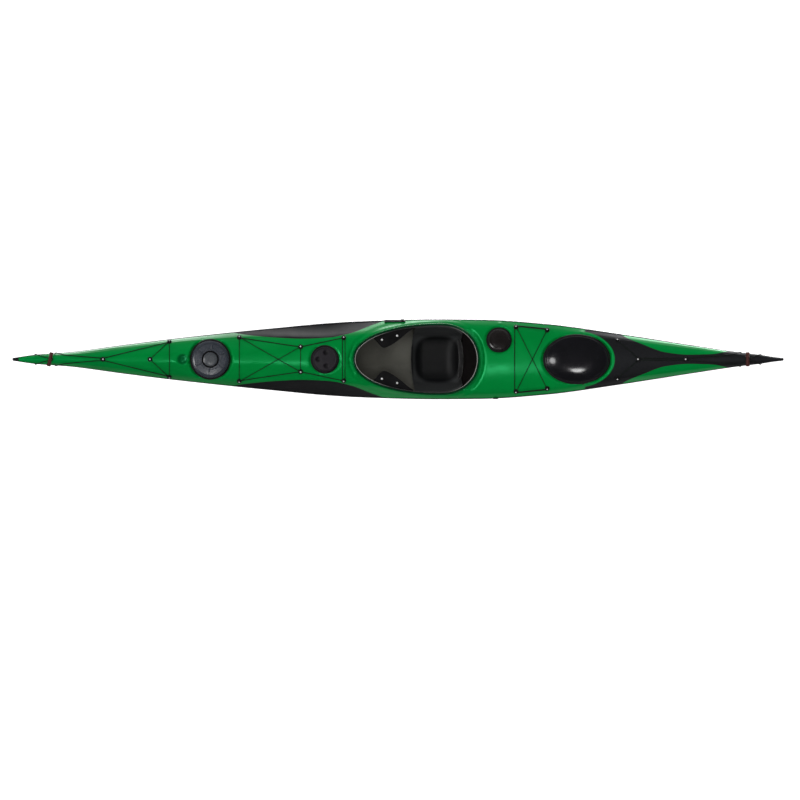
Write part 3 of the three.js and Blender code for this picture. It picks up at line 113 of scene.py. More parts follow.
# Cockpit
COCKPIT_FRONT, COCKPIT_BACK, COCKPIT_HALF = mm((-292, 542, 227))
WIDEST_SHARE = 0.70
COCKPIT_WIDEST = COCKPIT_FRONT + (COCKPIT_BACK - COCKPIT_FRONT) * WIDEST_SHARE
ROUNDNESS = 2.12
LIP_WIDTH = mm(20)
RISER_THICKNESS = mm(4.5)
RISER_DEPTH = mm(60)
RECESS_MARGIN = mm(26)
RECESS_DROP = mm(42)
COCKPIT_REACH = LIP_WIDTH + RECESS_MARGIN
MIDDLE_SHARE = 0.2
MIDDLE_LEVEL = 0.8

# Hatches: place, outer radii of the rim, recess floor, height of rim and cover, tilt in degrees
HATCH_MARGIN = mm(8)
RIM_WIDTH = mm(26)
COVER_LEDGE = mm(13)
HATCH_WALL = mm(4)
FIT = mm(0.3)
HATCH_NAMES = ("x", "y", "rx", "ry", "floor", "rim", "cover")
HATCH_ROWS = {
    "front": (-1289, 0, 140, 140, 304, 22, 16, 0),
    "pod": (-503, 0, 98, 98, 347, 13, 14, 0),
    "day": (693, 132, 88, 88, 228, 13, 13, -12),
    "rear": (1227, 0, 232, 172, 238, 22, 22, 0),
}
HATCHES = {
    name: SimpleNamespace(**dict(zip(HATCH_NAMES, mm(sizes))), tilt=radians(tilt))
    for name, (*sizes, tilt) in HATCH_ROWS.items()
}


# Curves and lines of the boat

def smooth_through(places, values):
    """A curve through the rows of a table, with no overshoot."""
    gaps = [b - a for a, b in zip(places, places[1:])]
    rises = [(b - a) / gap for a, b, gap in zip(values, values[1:], gaps)]
    slopes = [rises[0]]
    for gap0, gap1, rise0, rise1 in zip(gaps, gaps[1:], rises, rises[1:]):
        if rise0 * rise1 <= 0:
            slopes.append(0.0)
            continue
        before, after = 2 * gap1 + gap0, gap1 + 2 * gap0
        slopes.append((before + after) / (before / rise0 + after / rise1))
    slopes.append(rises[-1])

    def curve(place):
        at = min(max(place, places[0]), places[-1])
        i = 0
        while i < len(gaps) - 1 and places[i + 1] < at:
            i += 1
        t = (at - places[i]) / gaps[i]
        t2, t3 = t * t, t * t * t
        return (
            (2 * t3 - 3 * t2 + 1) * values[i] + (t3 - 2 * t2 + t) * gaps[i] * slopes[i]
            + (3 * t2 - 2 * t3) * values[i + 1] + (t3 - t2) * gaps[i] * slopes[i + 1]
        )

    return curve


def columns_of(rows):
    return [list(column) for column in zip(*rows)]


def bottom_curves(rows):
    """The out and up of a bottom section, by the number of its row."""
    return [smooth_through(list(range(len(rows))), column) for column in columns_of(rows)]


stations, *tables = columns_of(LINE_SHARES)
line_curves = {name: smooth_through(stations, table) for name, table in zip(LINE_NAMES, tables)}
rim_curve = smooth_through(*columns_of(RIM_HEIGHT_SHARES))
round_out, round_up = bottom_curves(ROUND_BOTTOM_SHARES)
vee_out, vee_up = bottom_curves(VEE_BOTTOM_SHARES)


def lines_at(x):
    """The boat's lines at a place along it, with sizes in metres."""
    made = {name: curve(x / HALF_LENGTH) for name, curve in line_curves.items()}
    made["half"] *= HALF_BEAM
    for name in ("keel", "seam", "crown"):
        made[name] *= BOW_HEIGHT
    return made


def rim_height(x):
    """Height of the coaming's lip."""
    return rim_curve(x / HALF_LENGTH) * BOW_HEIGHT


def bottom_point(lines, share):
    """A point of the bottom from keel, 0, to seam, 1, as (out, up)."""
    at = share * (len(ROUND_BOTTOM_SHARES) - 1)
    out = round_out(at) + (vee_out(at) - round_out(at)) * lines["vee"]
    up = round_up(at) + (vee_up(at) - round_up(at)) * lines["vee"]
    return lines["half"] * out, lines["keel"] + (lines["seam"] - lines["keel"]) * up


def bare_deck(lines, out):
    """Height of the deck a distance out from the middle line, before its ridge is eased."""
    half, seam, rise = lines["half"], lines["seam"], lines["crown"] - lines["seam"]
    ridge = half * lines["ridge_out"]
    if out > ridge:
        f = (half - out) / (half - ridge)
        return seam + rise * lines["ridge_up"] * (f + lines["swell"] * sin(pi * f))
    return seam + rise * (1 - (1 - lines["ridge_up"]) * (out / ridge) ** 2)


def deck_height(lines, y):
    """Height of the deck, its ridge and crown eased by a running mean."""
    out = abs(y)
    reach = min(EASE_REACH, max(lines["half"] - out, 0), lines["half"] * EASE_SHARE)
    here = bare_deck(lines, out)
    if reach < 1e-5:
        return here
    inner, outer = bare_deck(lines, abs(out - reach)), bare_deck(lines, out + reach)
    return (inner + 2 * here + outer) / 4


def deck_slope(x, y):
    """How far the deck leans out at a place, as an angle."""
    lines = lines_at(x)
    fall = deck_height(lines, y - SLOPE_PROBE) - deck_height(lines, y + SLOPE_PROBE)
    return atan2(fall, 2 * SLOPE_PROBE)


def egg_level(x, y, out):
    """Distance from the cockpit's outline moved out, less than zero inside."""
    front, back, half = COCKPIT_FRONT - out, COCKPIT_BACK + out, COCKPIT_HALF + out
    widest = front + (back - front) * WIDEST_SHARE
    reach = widest - front if x < widest else back - widest
    a, b = abs(x - widest) / reach, abs(y) / half
    f = (a ** ROUNDNESS + b ** ROUNDNESS) ** (1 / ROUNDNESS)
    if f < MIDDLE_SHARE:
        return -half * MIDDLE_LEVEL
    slope = hypot((a / f) ** (ROUNDNESS - 1) / reach, (b / f) ** (ROUNDNESS - 1) / half)
    return (f - 1) / slope


def oval_level(x, y, rx, ry):
    """Distance from an oval, less than zero inside."""
    f = hypot(x / rx, y / ry)
    if f < MIDDLE_SHARE:
        return -min(rx, ry) * MIDDLE_LEVEL
    return (f - 1) * f / hypot(x / rx ** 2, y / ry ** 2)


def cockpit_point(angle, out):
    """A point of the cockpit's outline, moved out square to it."""
    power = 2 / ROUNDNESS

    def at(turn):
        c, s = cos(turn), sin(turn)
        reach = COCKPIT_BACK - COCKPIT_WIDEST if c > 0 else COCKPIT_WIDEST - COCKPIT_FRONT
        x = COCKPIT_WIDEST + reach * copysign(abs(c) ** power, c)
        return Vector((x, COCKPIT_HALF * copysign(abs(s) ** power, s)))

    step = radians(1)
    along = at(angle + step) - at(angle - step)
    return at(angle) + Vector((along.y, -along.x)).normalized() * out


def opening_half(x):
    """Half width of the cockpit's opening at a place."""
    reach = COCKPIT_WIDEST - COCKPIT_FRONT if x < COCKPIT_WIDEST else COCKPIT_BACK - COCKPIT_WIDEST
    along = min(abs(x - COCKPIT_WIDEST) / reach, 1)
    return COCKPIT_HALF * (1 - along ** ROUNDNESS) ** (1 / ROUNDNESS)


def smoothstep(t):
    t = min(max(t, 0), 1)
    return t * t * (3 - 2 * t)


def on_line(points, share):
    """A place along a line of points, its share counted by their number."""
    at = share * (len(points) - 1)
    i = min(int(at + 1e-6), len(points) - 2)
    return [a + (b - a) * (at - i) for a, b in zip(points[i], points[i + 1])]


def shifted(points, x, z):
    return [(x + a, z + b) for a, b in points]


# Mesh helpers

def linked(name, data):
    """A new object in the scene."""
    made = bpy.data.objects.new(name, data)
    bpy.context.scene.collection.objects.link(made)
    return made


def mesh_of(name, bm):
    """A bmesh, which is freed, as a mesh."""
    mesh = bpy.data.meshes.new(name)
    bm.to_mesh(mesh)
    bm.free()
    return mesh


def finished(name, bm, body, slot, finishes, stands_for):
    """A smooth piece from a bmesh, riding on a body and standing for a CAD node."""
    piece = linked(name, mesh_of(name, bm))
    for finish in finishes:
        piece.data.materials.append(finish)
    smoothed(piece)
    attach(piece, body)
    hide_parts(stands_for)
    return piece


def smoothed(piece):
    piece.data.polygons.foreach_set("use_smooth", [True] * len(piece.data.polygons))


def crease(bm, degrees):
    """Marks the edges that stay sharp when the piece is shaded smooth."""
    limit = radians(degrees)
    for edge in bm.edges:
        edge.smooth = edge.calc_face_angle(0) < limit


def modified(piece, kind, **settings):
    """Adds a modifier with its settings."""
    made = piece.modifiers.new(kind.lower(), kind)
    for name, value in settings.items():
        setattr(made, name, value)
    return made


def soften(piece, width, segments=2, degrees=30):
    """Rounds a piece's sharp edges."""
    modified(piece, "BEVEL", width=width, segments=segments, limit_method="ANGLE",
             angle_limit=radians(degrees))
    return piece


def applied(piece):
    """The piece with its modifiers made part of its mesh."""
    graph = bpy.context.evaluated_depsgraph_get()
    mesh = bpy.data.meshes.new_from_object(piece.evaluated_get(graph))
    piece.modifiers.clear()
    piece.data = mesh
    return piece


def merged(bm):
    """Joins the points that share a place."""
    ops.remove_doubles(bm, verts=bm.verts, dist=1e-6)


def formed(around, along, place, mark=None, wrap=False, cap=False):
    """A grid bent into a skin by place(u, v), marked before; wrap joins its first and last rows."""
    bm = bmesh.new()
    ops.create_grid(bm, x_segments=around, y_segments=along, size=1)
    span = max(vert.co.x for vert in bm.verts)

    def shares(point):
        return (point.x / span + 1) / 2, (point.y / span + 1) / 2

    if mark:
        mark(bm, shares)
    for vert in bm.verts:
        vert.co = place(*shares(vert.co))
    if wrap:
        merged(bm)
    if cap:
        rims = [edge for edge in bm.edges if edge.is_boundary]
        ops.holes_fill(bm, edges=rims, sides=0)
    ops.recalc_face_normals(bm, faces=bm.faces)
    return bm


def refined(name, node, body, slot, finish, edge=0.0, degrees=34):
    """A merged copy of a CAD node with its edges eased, standing for the node."""
    bm = bmesh.new()
    bm.from_mesh(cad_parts[node].data)
    merged(bm)
    ops.dissolve_limit(bm, angle_limit=radians(1), verts=bm.verts, edges=bm.edges)
    crease(bm, degrees)
    piece = finished(name, bm, body, slot, [finish], node)
    if edge:
        soften(piece, edge, degrees=degrees)


def turned(profile, steps, index=0):
    """A profile of (radius, height) spun into a closed shape about Z, with its finish's index."""
    bm = bmesh.new()
    verts = [bm.verts.new((radius, 0, height)) for radius, height in profile]
    edges = [bm.edges.new(pair) for pair in zip(verts, verts[1:])]
    ops.spin(bm, geom=verts + edges, cent=(0, 0, 0), axis=(0, 0, 1),
                   angle=2 * pi, steps=steps, use_merge=True)
    merged(bm)
    ops.recalc_face_normals(bm, faces=bm.faces)
    for face in bm.faces:
        face.material_index = index
    return bm


def joined(shapes):
    """Several bmeshes as one."""
    whole = bmesh.new()
    for shape in shapes:
        mesh = mesh_of("shape", shape)
        whole.from_mesh(mesh)
        bpy.data.meshes.remove(mesh)
    return whole


# Finishes

COAT_ROUGHNESS = 0.2
NOISE_SPAN = (0.3, 0.7)
SKIN_BUMP = 0.0003
GREEN = (0.000, 0.190, 0.031)
GREEN_DEEP = (0.000, 0.160, 0.026)
GREEN_SHINE = (0.10, 1.0, 0.42)
BLACK_SHINE = (0.80, 0.86, 0.92)
# Painted shade for the compass dish: a deep green
DISH_PAINTED_SHADE = (0.000, 0.040, 0.011)
# Painted shade of the coaming's lip, over the lip and towards the opening
LIP_PAINTED_SHADE = (0.000, 0.040, 0.010)
LIP_PAINTED_SHADE_INNER = (0.000, 0.006, 0.002)
PANEL_BLACK = (0.0060, 0.0062, 0.0070)
PANEL_BLACK_PALE = (0.0110, 0.0112, 0.0122)
PANEL_BLUR = 0.0006
GELCOAT_WHITE = (0.82, 0.82, 0.83)
GELCOAT_CLOUD = (0.76, 0.765, 0.775)
RESIN = (0.048, 0.046, 0.038)
RESIN_PALE = (0.088, 0.087, 0.074)
RESIN_MIDDLE = (0.074, 0.073, 0.063)
# Painted shade for the resin behind the seat, and where it begins along the boat
RESIN_AFT_PAINTED_SHADE = (0.010, 0.008, 0.008)
AFT_FROM, AFT_TO = 0.36, 0.42
PAN_BLACK = (0.0015, 0.0017, 0.0020)
BRIM_PAINTED_SHEEN = (0.0260, 0.0275, 0.0280)
PAN_MIDDLE = (mm(269), 0, 0)
PAN_REACH = (mm(157), mm(162), 1)
CORD_BLACK = (0.006, 0.008, 0.007)
CORD_DEEP = (0.003, 0.005, 0.004)
CORD_PALE = (0.013, 0.018, 0.014)
CLOTH_BLACK = (0.013, 0.013, 0.014)
CLOTH_DEEP = (0.007, 0.007, 0.007)
CLOTH_FUZZ = (0.014, 0.014, 0.014)
CLOTH_PALE = (0.020, 0.020, 0.021)
# Painted highlight along the lip's inner top edge: grey, dim along the sides, pale at the ends
EDGE_HIGHLIGHT_GREY = (0.30, 0.31, 0.29)
EDGE_HIGHLIGHT_DIM = (0.030, 0.034, 0.031)
EDGE_PAINTED_HIGHLIGHT = (0.34, 0.35, 0.32)
EDGE_MIDDLE = 0.15
COMPASS_X = mm(-1480)
COMPASS_DEPTH, COMPASS_RADIUS, COMPASS_FLOOR = mm((9, 37, 24))
COMPASS_MIDDLE = (COMPASS_X, 0, deck_height(lines_at(COMPASS_X), 0) - COMPASS_DEPTH)
DISH_SHADE_EDGE = mm((26, 44))


class Tree:
    """A node tree with short calls for its nodes."""

    def __init__(self, owner, bare=False):
        owner.use_nodes = True
        self.tree = owner.node_tree
        if bare:
            self.tree.nodes.clear()

    def put(self, target, value):
        """Feeds an input with another node's socket or with a value."""
        if isinstance(value, bpy.types.NodeSocket):
            self.tree.links.new(value, target)
        else:
            target.default_value = (*value[:3], 1) if target.type == "RGBA" else value

    def node(self, kind, inputs=(), **settings):
        """The outputs of a new node."""
        made = self.tree.nodes.new("ShaderNode" + kind)
        for name, value in settings.items():
            setattr(made, name, value)
        for key, value in dict(inputs).items():
            self.put(made.inputs[key], value)
        return made.outputs

    def maths(self, operation, *values):
        return self.node("Math", enumerate(values), operation=operation)[0]

    def vectors(self, operation, *values):
        return self.node("VectorMath", enumerate(values), operation=operation)

    def place(self):
        return self.node("TexCoord")["Object"]

    def axes(self, vector):
        return self.node("SeparateXYZ", {"Vector": vector})

    def attribute(self, name):
        return self.node("Attribute", attribute_name=name)["Fac"]

    def stretched(self, vector, scale):
        return self.node("Mapping", {"Vector": vector, "Scale": scale})[0]

    def grain(self, scale, detail=4, roughness=0.6, vector=None):
        """Noise on the object's own coordinates, about 0.5 in the middle."""
        vector = self.place() if vector is None else vector
        inputs = {"Vector": vector, "Scale": scale, "Detail": detail, "Roughness": roughness}
        return self.node("TexNoise", inputs)["Fac"]

    def wave(self, vector, scale, way, distortion=0.0):
        inputs = {"Vector": vector, "Scale": scale, "Distortion": distortion}
        return self.node("TexWave", inputs, bands_direction=way)["Fac"]

    def spread(self, value, low, high, out_low=0.0, out_high=1.0):
        """The value's range low to high laid over another, and held at its ends."""
        inputs = {"Value": value, "From Min": low, "From Max": high, "To Min": out_low, "To Max": out_high}
        return self.node("MapRange", inputs)["Result"]

    def mixed(self, share, first, second):
        return self.node("Mix", {0: share, 6: first, 7: second}, data_type="RGBA")[2]


class Finish(Tree):
    """A material on the standard shader, with the values that are the same all over."""

    def __init__(self, name, colour, roughness, metallic=0.0, coat=0.0, specular=0.5):
        self.material = bpy.data.materials.new(name)
        super().__init__(self.material)
        self.material.diffuse_color = (*colour, 1)
        self.shader = self.tree.nodes["Principled BSDF"].inputs
        self.set("Base Color", colour)
        self.set("Roughness", roughness)
        self.set("Metallic", metallic)
        self.set("Coat Weight", coat)
        self.set("Coat Roughness", COAT_ROUGHNESS)
        self.set("Specular IOR Level", specular)

    def set(self, name, value):
        self.put(self.shader[name], value)

    def bumped(self, height, strength, distance=SKIN_BUMP):
        """The material, once its bump is in."""
        inputs = {"Height": height, "Strength": strength, "Distance": distance}
        self.set("Normal", self.node("Bump", inputs)["Normal"])
        return self.material


def deck_gelcoat():
    """Glossy green, with satin black panels where the attribute is above zero, and painted shade in the
    compass dish.
    """
    deck = Finish("deck_gelcoat", GREEN, 0.24)
    black = deck.spread(deck.attribute("panel"), -PANEL_BLUR, PANEL_BLUR)
    speckle = deck.grain(260, 2)
    green = deck.mixed(deck.spread(deck.grain(3.5, 3), *NOISE_SPAN), GREEN, GREEN_DEEP)
    # Painted shade: the green is darkened in and round the compass dish, where shade falls.
    out = deck.vectors("DISTANCE", deck.place(), COMPASS_MIDDLE)["Value"]
    green = deck.mixed(deck.spread(out, *DISH_SHADE_EDGE, 0.8, 0), green, DISH_PAINTED_SHADE)
    panel = deck.mixed(deck.spread(speckle, 0.35, 0.65), PANEL_BLACK, PANEL_BLACK_PALE)
    deck.set("Base Color", deck.mixed(black, green, panel))
    deck.set("Specular Tint", deck.mixed(black, GREEN_SHINE, BLACK_SHINE))
    deck.set("Specular IOR Level", deck.spread(black, 0, 1, 0.5, 0.10))
    worn = deck.spread(deck.grain(14, 5), *NOISE_SPAN, -0.04, 0.05)
    deck.set("Roughness", deck.maths("ADD", deck.spread(black, 0, 1, 0.22, 0.46), worn))
    fine = deck.maths("MULTIPLY", speckle, black)
    return deck.bumped(deck.maths("MULTIPLY_ADD", deck.grain(55, 2), 0.12, fine), 0.12, 0.0004)


def lip_gelcoat_painted_shade():
    """The lip's green, darkened as painted shade and darkest towards the opening."""
    lip = Finish("lip_gelcoat_painted_shade", LIP_PAINTED_SHADE, 0.22, specular=0.25)
    # Painted shade: the lip is painted a dark green that deepens towards the opening.
    lip.set("Base Color", lip.mixed(lip.attribute("inward"), LIP_PAINTED_SHADE, LIP_PAINTED_SHADE_INNER))
    lip.set("Specular Tint", GREEN_SHINE)
    return lip.bumped(lip.grain(55, 2), 0.05)


def hull_gelcoat():
    """Glossy white, faintly clouded, with scuffs that run along the boat."""
    hull = Finish("hull_gelcoat", GELCOAT_WHITE, 0.22, specular=0.2)
    cloud = hull.spread(hull.grain(2.2), *NOISE_SPAN)
    hull.set("Base Color", hull.mixed(cloud, GELCOAT_WHITE, GELCOAT_CLOUD))
    scuffs = hull.grain(6.0, 6, 0.5, hull.stretched(hull.place(), (1.5, 22, 22)))
    hull.set("Roughness", hull.spread(scuffs, 0.35, 0.75, 0.18, 0.34))
    return hull.bumped(hull.grain(50, 2), 0.05)


def laminate():
    """The inside of the shells: grey-olive resin over woven glass, with painted shade behind the seat."""
    wall = Finish("inner_laminate", RESIN, 0.75, specular=0.2)
    place = wall.place()
    weave = wall.maths("MAXIMUM", *(wall.wave(place, 62, way, 0.4) for way in "XY"))
    tone = wall.mixed(wall.spread(wall.grain(9, 5), *NOISE_SPAN), RESIN_PALE, RESIN_MIDDLE)
    # Painted shade: the resin is painted near-black behind the seat, where shade falls.
    aft = wall.spread(wall.axes(place)["X"], AFT_FROM, AFT_TO)
    wall.set("Base Color", wall.mixed(aft, tone, RESIN_AFT_PAINTED_SHADE))
    return wall.bumped(weave, 0.22, 0.0005)


def moulded(name, colour, pale, roughness, scale=420, strength=0.2, coat=0.0, specular=0.5, dip_shade_colour=None):
    """Moulded plastic or rubber: fine texture, cloudy tone, edges rubbed pale, and dips painted darker as
    painted shade.
    """
    skin = Finish(name, colour, roughness, coat=coat, specular=specular)
    tone = skin.mixed(skin.spread(skin.grain(18), 0.3, 0.75, 0, 0.6), colour, pale)
    if dip_shade_colour:
        # Painted shade: the base colour is darkened where the dip attribute is high.
        tone = skin.mixed(skin.attribute("dip"), tone, dip_shade_colour)
    edge = skin.spread(skin.node("NewGeometry")["Pointiness"], 0.53, 0.60, 0, 0.5)
    skin.set("Base Color", skin.mixed(edge, tone, pale))
    fine = skin.grain(scale, 2)
    skin.set("Roughness", skin.spread(fine, *NOISE_SPAN, roughness - 0.06, roughness + 0.08))
    return skin.bumped(fine, strength)


def seat_plastic():
    """Black plastic, deepest in the pan, with a painted sheen that makes the brim round it greyer."""
    seat = Finish("seat_moulding", PAN_BLACK, 0.50, specular=0.25)
    place = seat.vectors("SUBTRACT", seat.place(), PAN_MIDDLE)[0]
    shares = seat.axes(seat.vectors("DIVIDE", place, PAN_REACH)[0])
    along, across = (seat.maths("POWER", seat.maths("ABSOLUTE", shares[axis]), 3.0) for axis in "XY")
    # Painted sheen: the brim round the pan is painted greyer.
    brim = seat.spread(seat.maths("ADD", along, across), 0.75, 1.15)
    seat.set("Base Color", seat.mixed(brim, PAN_BLACK, BRIM_PAINTED_SHEEN))
    return seat.bumped(seat.grain(520, 2), 0.15)


def brushed(name, colour, roughness, stretch=(1, 1, 1), metallic=1.0):
    """Metal with brush lines, drawn out where it is stretched."""
    metal = Finish(name, colour, roughness, metallic=metallic)
    brush = metal.grain(120.0, 5, 0.5, metal.stretched(metal.place(), stretch))
    metal.set("Roughness", metal.spread(brush, *NOISE_SPAN, roughness - 0.08, roughness + 0.12))
    return metal.bumped(brush, 0.08, 0.0002)


def braided_cord():
    """Black cord with two sets of crossing strands."""
    braid = Finish("braided_cord", CORD_BLACK, 0.78, specular=0.15)
    place = braid.place()
    ways = (place, braid.stretched(place, (1, -1, 1)))
    weave = braid.maths("MULTIPLY", *(braid.wave(way, 150, "DIAGONAL") for way in ways))
    braid.set("Base Color", braid.mixed(weave, CORD_DEEP, CORD_PALE))
    return braid.bumped(weave, 0.5, 0.0005)


def pad_cloth():
    """Closely woven black cloth."""
    pad = Finish("pad_cloth", CLOTH_BLACK, 0.9, specular=0.1)
    pad.set("Sheen Weight", 0.1)
    place = pad.place()
    weave = pad.maths("MULTIPLY", *(pad.wave(place, 190, way) for way in "ZY"))
    tone = pad.mixed(pad.spread(pad.grain(60), *NOISE_SPAN), CLOTH_DEEP, CLOTH_FUZZ)
    pad.set("Base Color", pad.mixed(weave, tone, CLOTH_PALE))
    return pad.bumped(weave, 0.4, 0.0006)


def lip_edge_highlight():
    """The trimmed edge of the lip, grey with a painted highlight: pale at its two ends, dark along its sides.
    """
    edge = Finish("lip_edge_highlight", EDGE_HIGHLIGHT_GREY, 0.4)
    from_middle = edge.maths("ABSOLUTE", edge.maths("SUBTRACT", edge.axes(edge.place())["X"], EDGE_MIDDLE))
    # Painted highlight: the edge is palest at the front and back arcs, where light catches it.
    edge.set("Base Color", edge.mixed(edge.spread(from_middle, 0.20, 0.36), EDGE_HIGHLIGHT_DIM, EDGE_PAINTED_HIGHLIGHT))
    return edge.bumped(edge.grain(300, 2), 0.1)


green_deck = deck_gelcoat()
lip_green_painted_shade = lip_gelcoat_painted_shade()
white_hull = hull_gelcoat()
inner = laminate()
seat_moulding = seat_plastic()
lip_painted_highlight = lip_edge_highlight()
cord = braided_cord()
cloth = pad_cloth()
rail_metal = brushed("rail_metal", (0.50, 0.51, 0.52), 0.38, stretch=(1, 18, 18))
screw_metal = brushed("screw_metal", (0.80, 0.80, 0.80), 0.36, metallic=0.4)
black_moulding = moulded("black_moulding", (0.0045, 0.0045, 0.0048), (0.011, 0.011, 0.0115), 0.50,
                         specular=0.12)
band_vinyl = moulded("band_vinyl", (0.0075, 0.0078, 0.008), (0.018, 0.018, 0.019), 0.26,
                     strength=0.03, coat=1.0)
front_rubber = moulded("front_cover_rubber", (0.019, 0.023, 0.031), (0.040, 0.046, 0.058), 0.26,
                       strength=0.12, coat=0.3)
disc_rubber = moulded("front_disc_rubber", (0.030, 0.034, 0.039), (0.052, 0.057, 0.064), 0.28,
                      strength=0.12, coat=0.3)
pod_rubber = moulded("pod_cover_rubber", (0.0078, 0.0066, 0.0090), (0.0150, 0.0130, 0.0165), 0.52,
                     specular=0.3, dip_shade_colour=(0.0010, 0.0006, 0.0014))
day_rubber = moulded("day_cover_rubber", (0.0072, 0.0060, 0.0058), (0.0110, 0.0092, 0.0088), 0.24,
                     scale=12, strength=0.02)
rear_rubber = moulded("rear_cover_rubber", (0.0050, 0.0050, 0.0062), (0.0085, 0.0085, 0.0105), 0.10,
                      strength=0.03)
toggle_moulding = moulded("toggle_moulding", (0.040, 0.0075, 0.0065), (0.064, 0.018, 0.015), 0.50,
                          specular=0.3)
skeg_plastic = moulded("skeg_plastic", (0.0070, 0.0073, 0.0085), (0.016, 0.0165, 0.018), 0.62,
                       specular=0.08)
# Near-black matt for the groove round the front cover's disc: painted shade over the groove's own dark
# rubber.
groove_shade_black = moulded("groove_shade_black", (0.0016, 0.0016, 0.0018), (0.0024, 0.0024, 0.0027), 0.70,
                     specular=0.06)


# Deck: a grid draped over the boat's lines, moulded down round cockpit and hatches

FINE_STEP, COARSE_STEP = mm((7, 14))
DECK_COLUMNS = 84
DRAWN_SHARE = 0.48
OUTLINE_PROBE = mm(0.5)
MOULD_TOP, MOULD_FOOT = mm((5, -4))
STEP_INSIDE, STEP_HALF, STEP_HEIGHT = mm((13, 10, 3.5))
EASED_RING, EASED_DEPTH, EASED_CLEAR = mm((17, 5, 40))
FORE_PANEL = mm([(-1230, 205), (-1153, 187), (-1023, 167), (-838, 150), (-656, 142), (-474, 150),
                 (-323, 181), (-185, 233), (-103, 263), (-50, 290)])
STERN_PANEL = mm([(1480, 230), (1530, 172), (1682, 102), (1840, 47), (1997, 31), (2154, 35), (2290, 60)])
STERN_PANEL_FRONT = mm(1285)
STERN_ARC = mm((262, 194))
BOW_TIP = mm(42)
PANEL_GROWTH = mm(0.8)
BUMPS = mm([(699, 246), (1263, 185)])
BUMP_RADIUS, BUMP_HEIGHT = mm((17, 6))
BUMP_FLANK = 1.4

fore_edge = smooth_through(*columns_of(FORE_PANEL))
stern_edge = smooth_through(*columns_of(STERN_PANEL))
MOULDED_SPANS = [(COCKPIT_FRONT - COCKPIT_REACH, COCKPIT_BACK + COCKPIT_REACH)] + [
    (hatch.x - hatch.rx - HATCH_MARGIN, hatch.x + hatch.rx + HATCH_MARGIN) for hatch in HATCHES.values()
]


def deck_rows():
    """Places of the deck's rows, close together where it is moulded."""
    rows, x, clear = [], -HALF_LENGTH, 2 * COARSE_STEP
    while x < HALF_LENGTH:
        rows.append((x,))
        x += FINE_STEP if any(low - clear < x < high + clear for low, high in MOULDED_SPANS) else COARSE_STEP
    return rows + [(HALF_LENGTH,)]


def cockpit_recess(x, y):
    return egg_level(x, y, COCKPIT_REACH)


def cockpit_hole(x, y):
    return egg_level(x, y, RISER_THICKNESS + FIT)


def hatch_outline(hatch, out):
    """The level round a hatch's outline moved out, seen from above."""
    lean = cos(hatch.tilt)
    return lambda x, y: oval_level(x - hatch.x, (y - hatch.y) / lean, hatch.rx + out, hatch.ry + out)


hatch_recesses = {name: hatch_outline(hatch, HATCH_MARGIN) for name, hatch in HATCHES.items()}
hatch_holes = {name: hatch_outline(hatch, HATCH_WALL + FIT - RIM_WIDTH) for name, hatch in HATCHES.items()}


def hatches_near(x, y):
    for name, hatch in HATCHES.items():
        reach = hatch.rx + 4 * HATCH_MARGIN
        if abs(x - hatch.x) < reach and abs(y - hatch.y) < reach:
            yield name, hatch


def by_cockpit(x):
    return COCKPIT_FRONT - 2 * COCKPIT_REACH < x < COCKPIT_BACK + 2 * COCKPIT_REACH


def moulded_height(x, y):
    """Height of the deck with its recesses moulded in."""
    lines = lines_at(x)
    height = deck_height(lines, y)
    floors, step = [], 0
    if by_cockpit(x):
        level = cockpit_recess(x, y)
        floors.append((level, rim_height(x) - RECESS_DROP))
        ring = smoothstep((MOULD_TOP + EASED_RING - level) / EASED_RING)
        height -= EASED_DEPTH * (ring * smoothstep((lines["half"] - abs(y)) / EASED_CLEAR))
        step = STEP_HEIGHT * smoothstep(1 - abs(level + STEP_INSIDE) / STEP_HALF)
    for name, hatch in hatches_near(x, y):
        floors.append((hatch_recesses[name](x, y), hatch.floor + (y - hatch.y) * tan(hatch.tilt)))
    made = height + step
    for level, floor in floors:
        share = smoothstep((MOULD_TOP - level) / (MOULD_TOP - MOULD_FOOT))
        made = min(made, height + (min(floor, height) - height) * share + step)
    out = hypot(x - COMPASS_X, y)
    made -= COMPASS_DEPTH * smoothstep((COMPASS_RADIUS - out) / (COMPASS_RADIUS - COMPASS_FLOOR))
    for bump_x, bump_y in BUMPS:
        out = hypot(x - bump_x, y - bump_y) / BUMP_RADIUS
        made += BUMP_HEIGHT * smoothstep(BUMP_FLANK - BUMP_FLANK * out)
    return made


def outlines_near(x, y):
    """The outlines that a grid point may be drawn to, each as (level at a place, level wanted)."""
    if by_cockpit(x):
        yield cockpit_recess, MOULD_TOP
        yield cockpit_recess, MOULD_FOOT
        yield cockpit_hole, 0
    for name, _ in hatches_near(x, y):
        yield hatch_recesses[name], MOULD_TOP
        yield hatch_recesses[name], MOULD_FOOT
        yield hatch_holes[name], 0


def drawn_to_outline(x, y, reach):
    """A grid point moved onto an outline that passes within reach of it."""
    for outline, wanted in outlines_near(x, y):
        away = outline(x, y) - wanted
        if abs(away) < reach:
            step = OUTLINE_PROBE
            slope = Vector((outline(x + step, y) - outline(x - step, y),
                            outline(x, y + step) - outline(x, y - step)))
            slope.normalize()
            return x - slope.x * away, y - slope.y * away
    return x, y


def panel_level(x, y):
    """How far inside a black panel a place lies; less than zero outside them."""
    out = abs(y)
    if x < 0:
        return max(out - fore_edge(x), BOW_TIP - HALF_LENGTH - x)
    return min(oval_level(x - HATCHES["rear"].x, y, *STERN_ARC), x - STERN_PANEL_FRONT, stern_edge(x) - out)


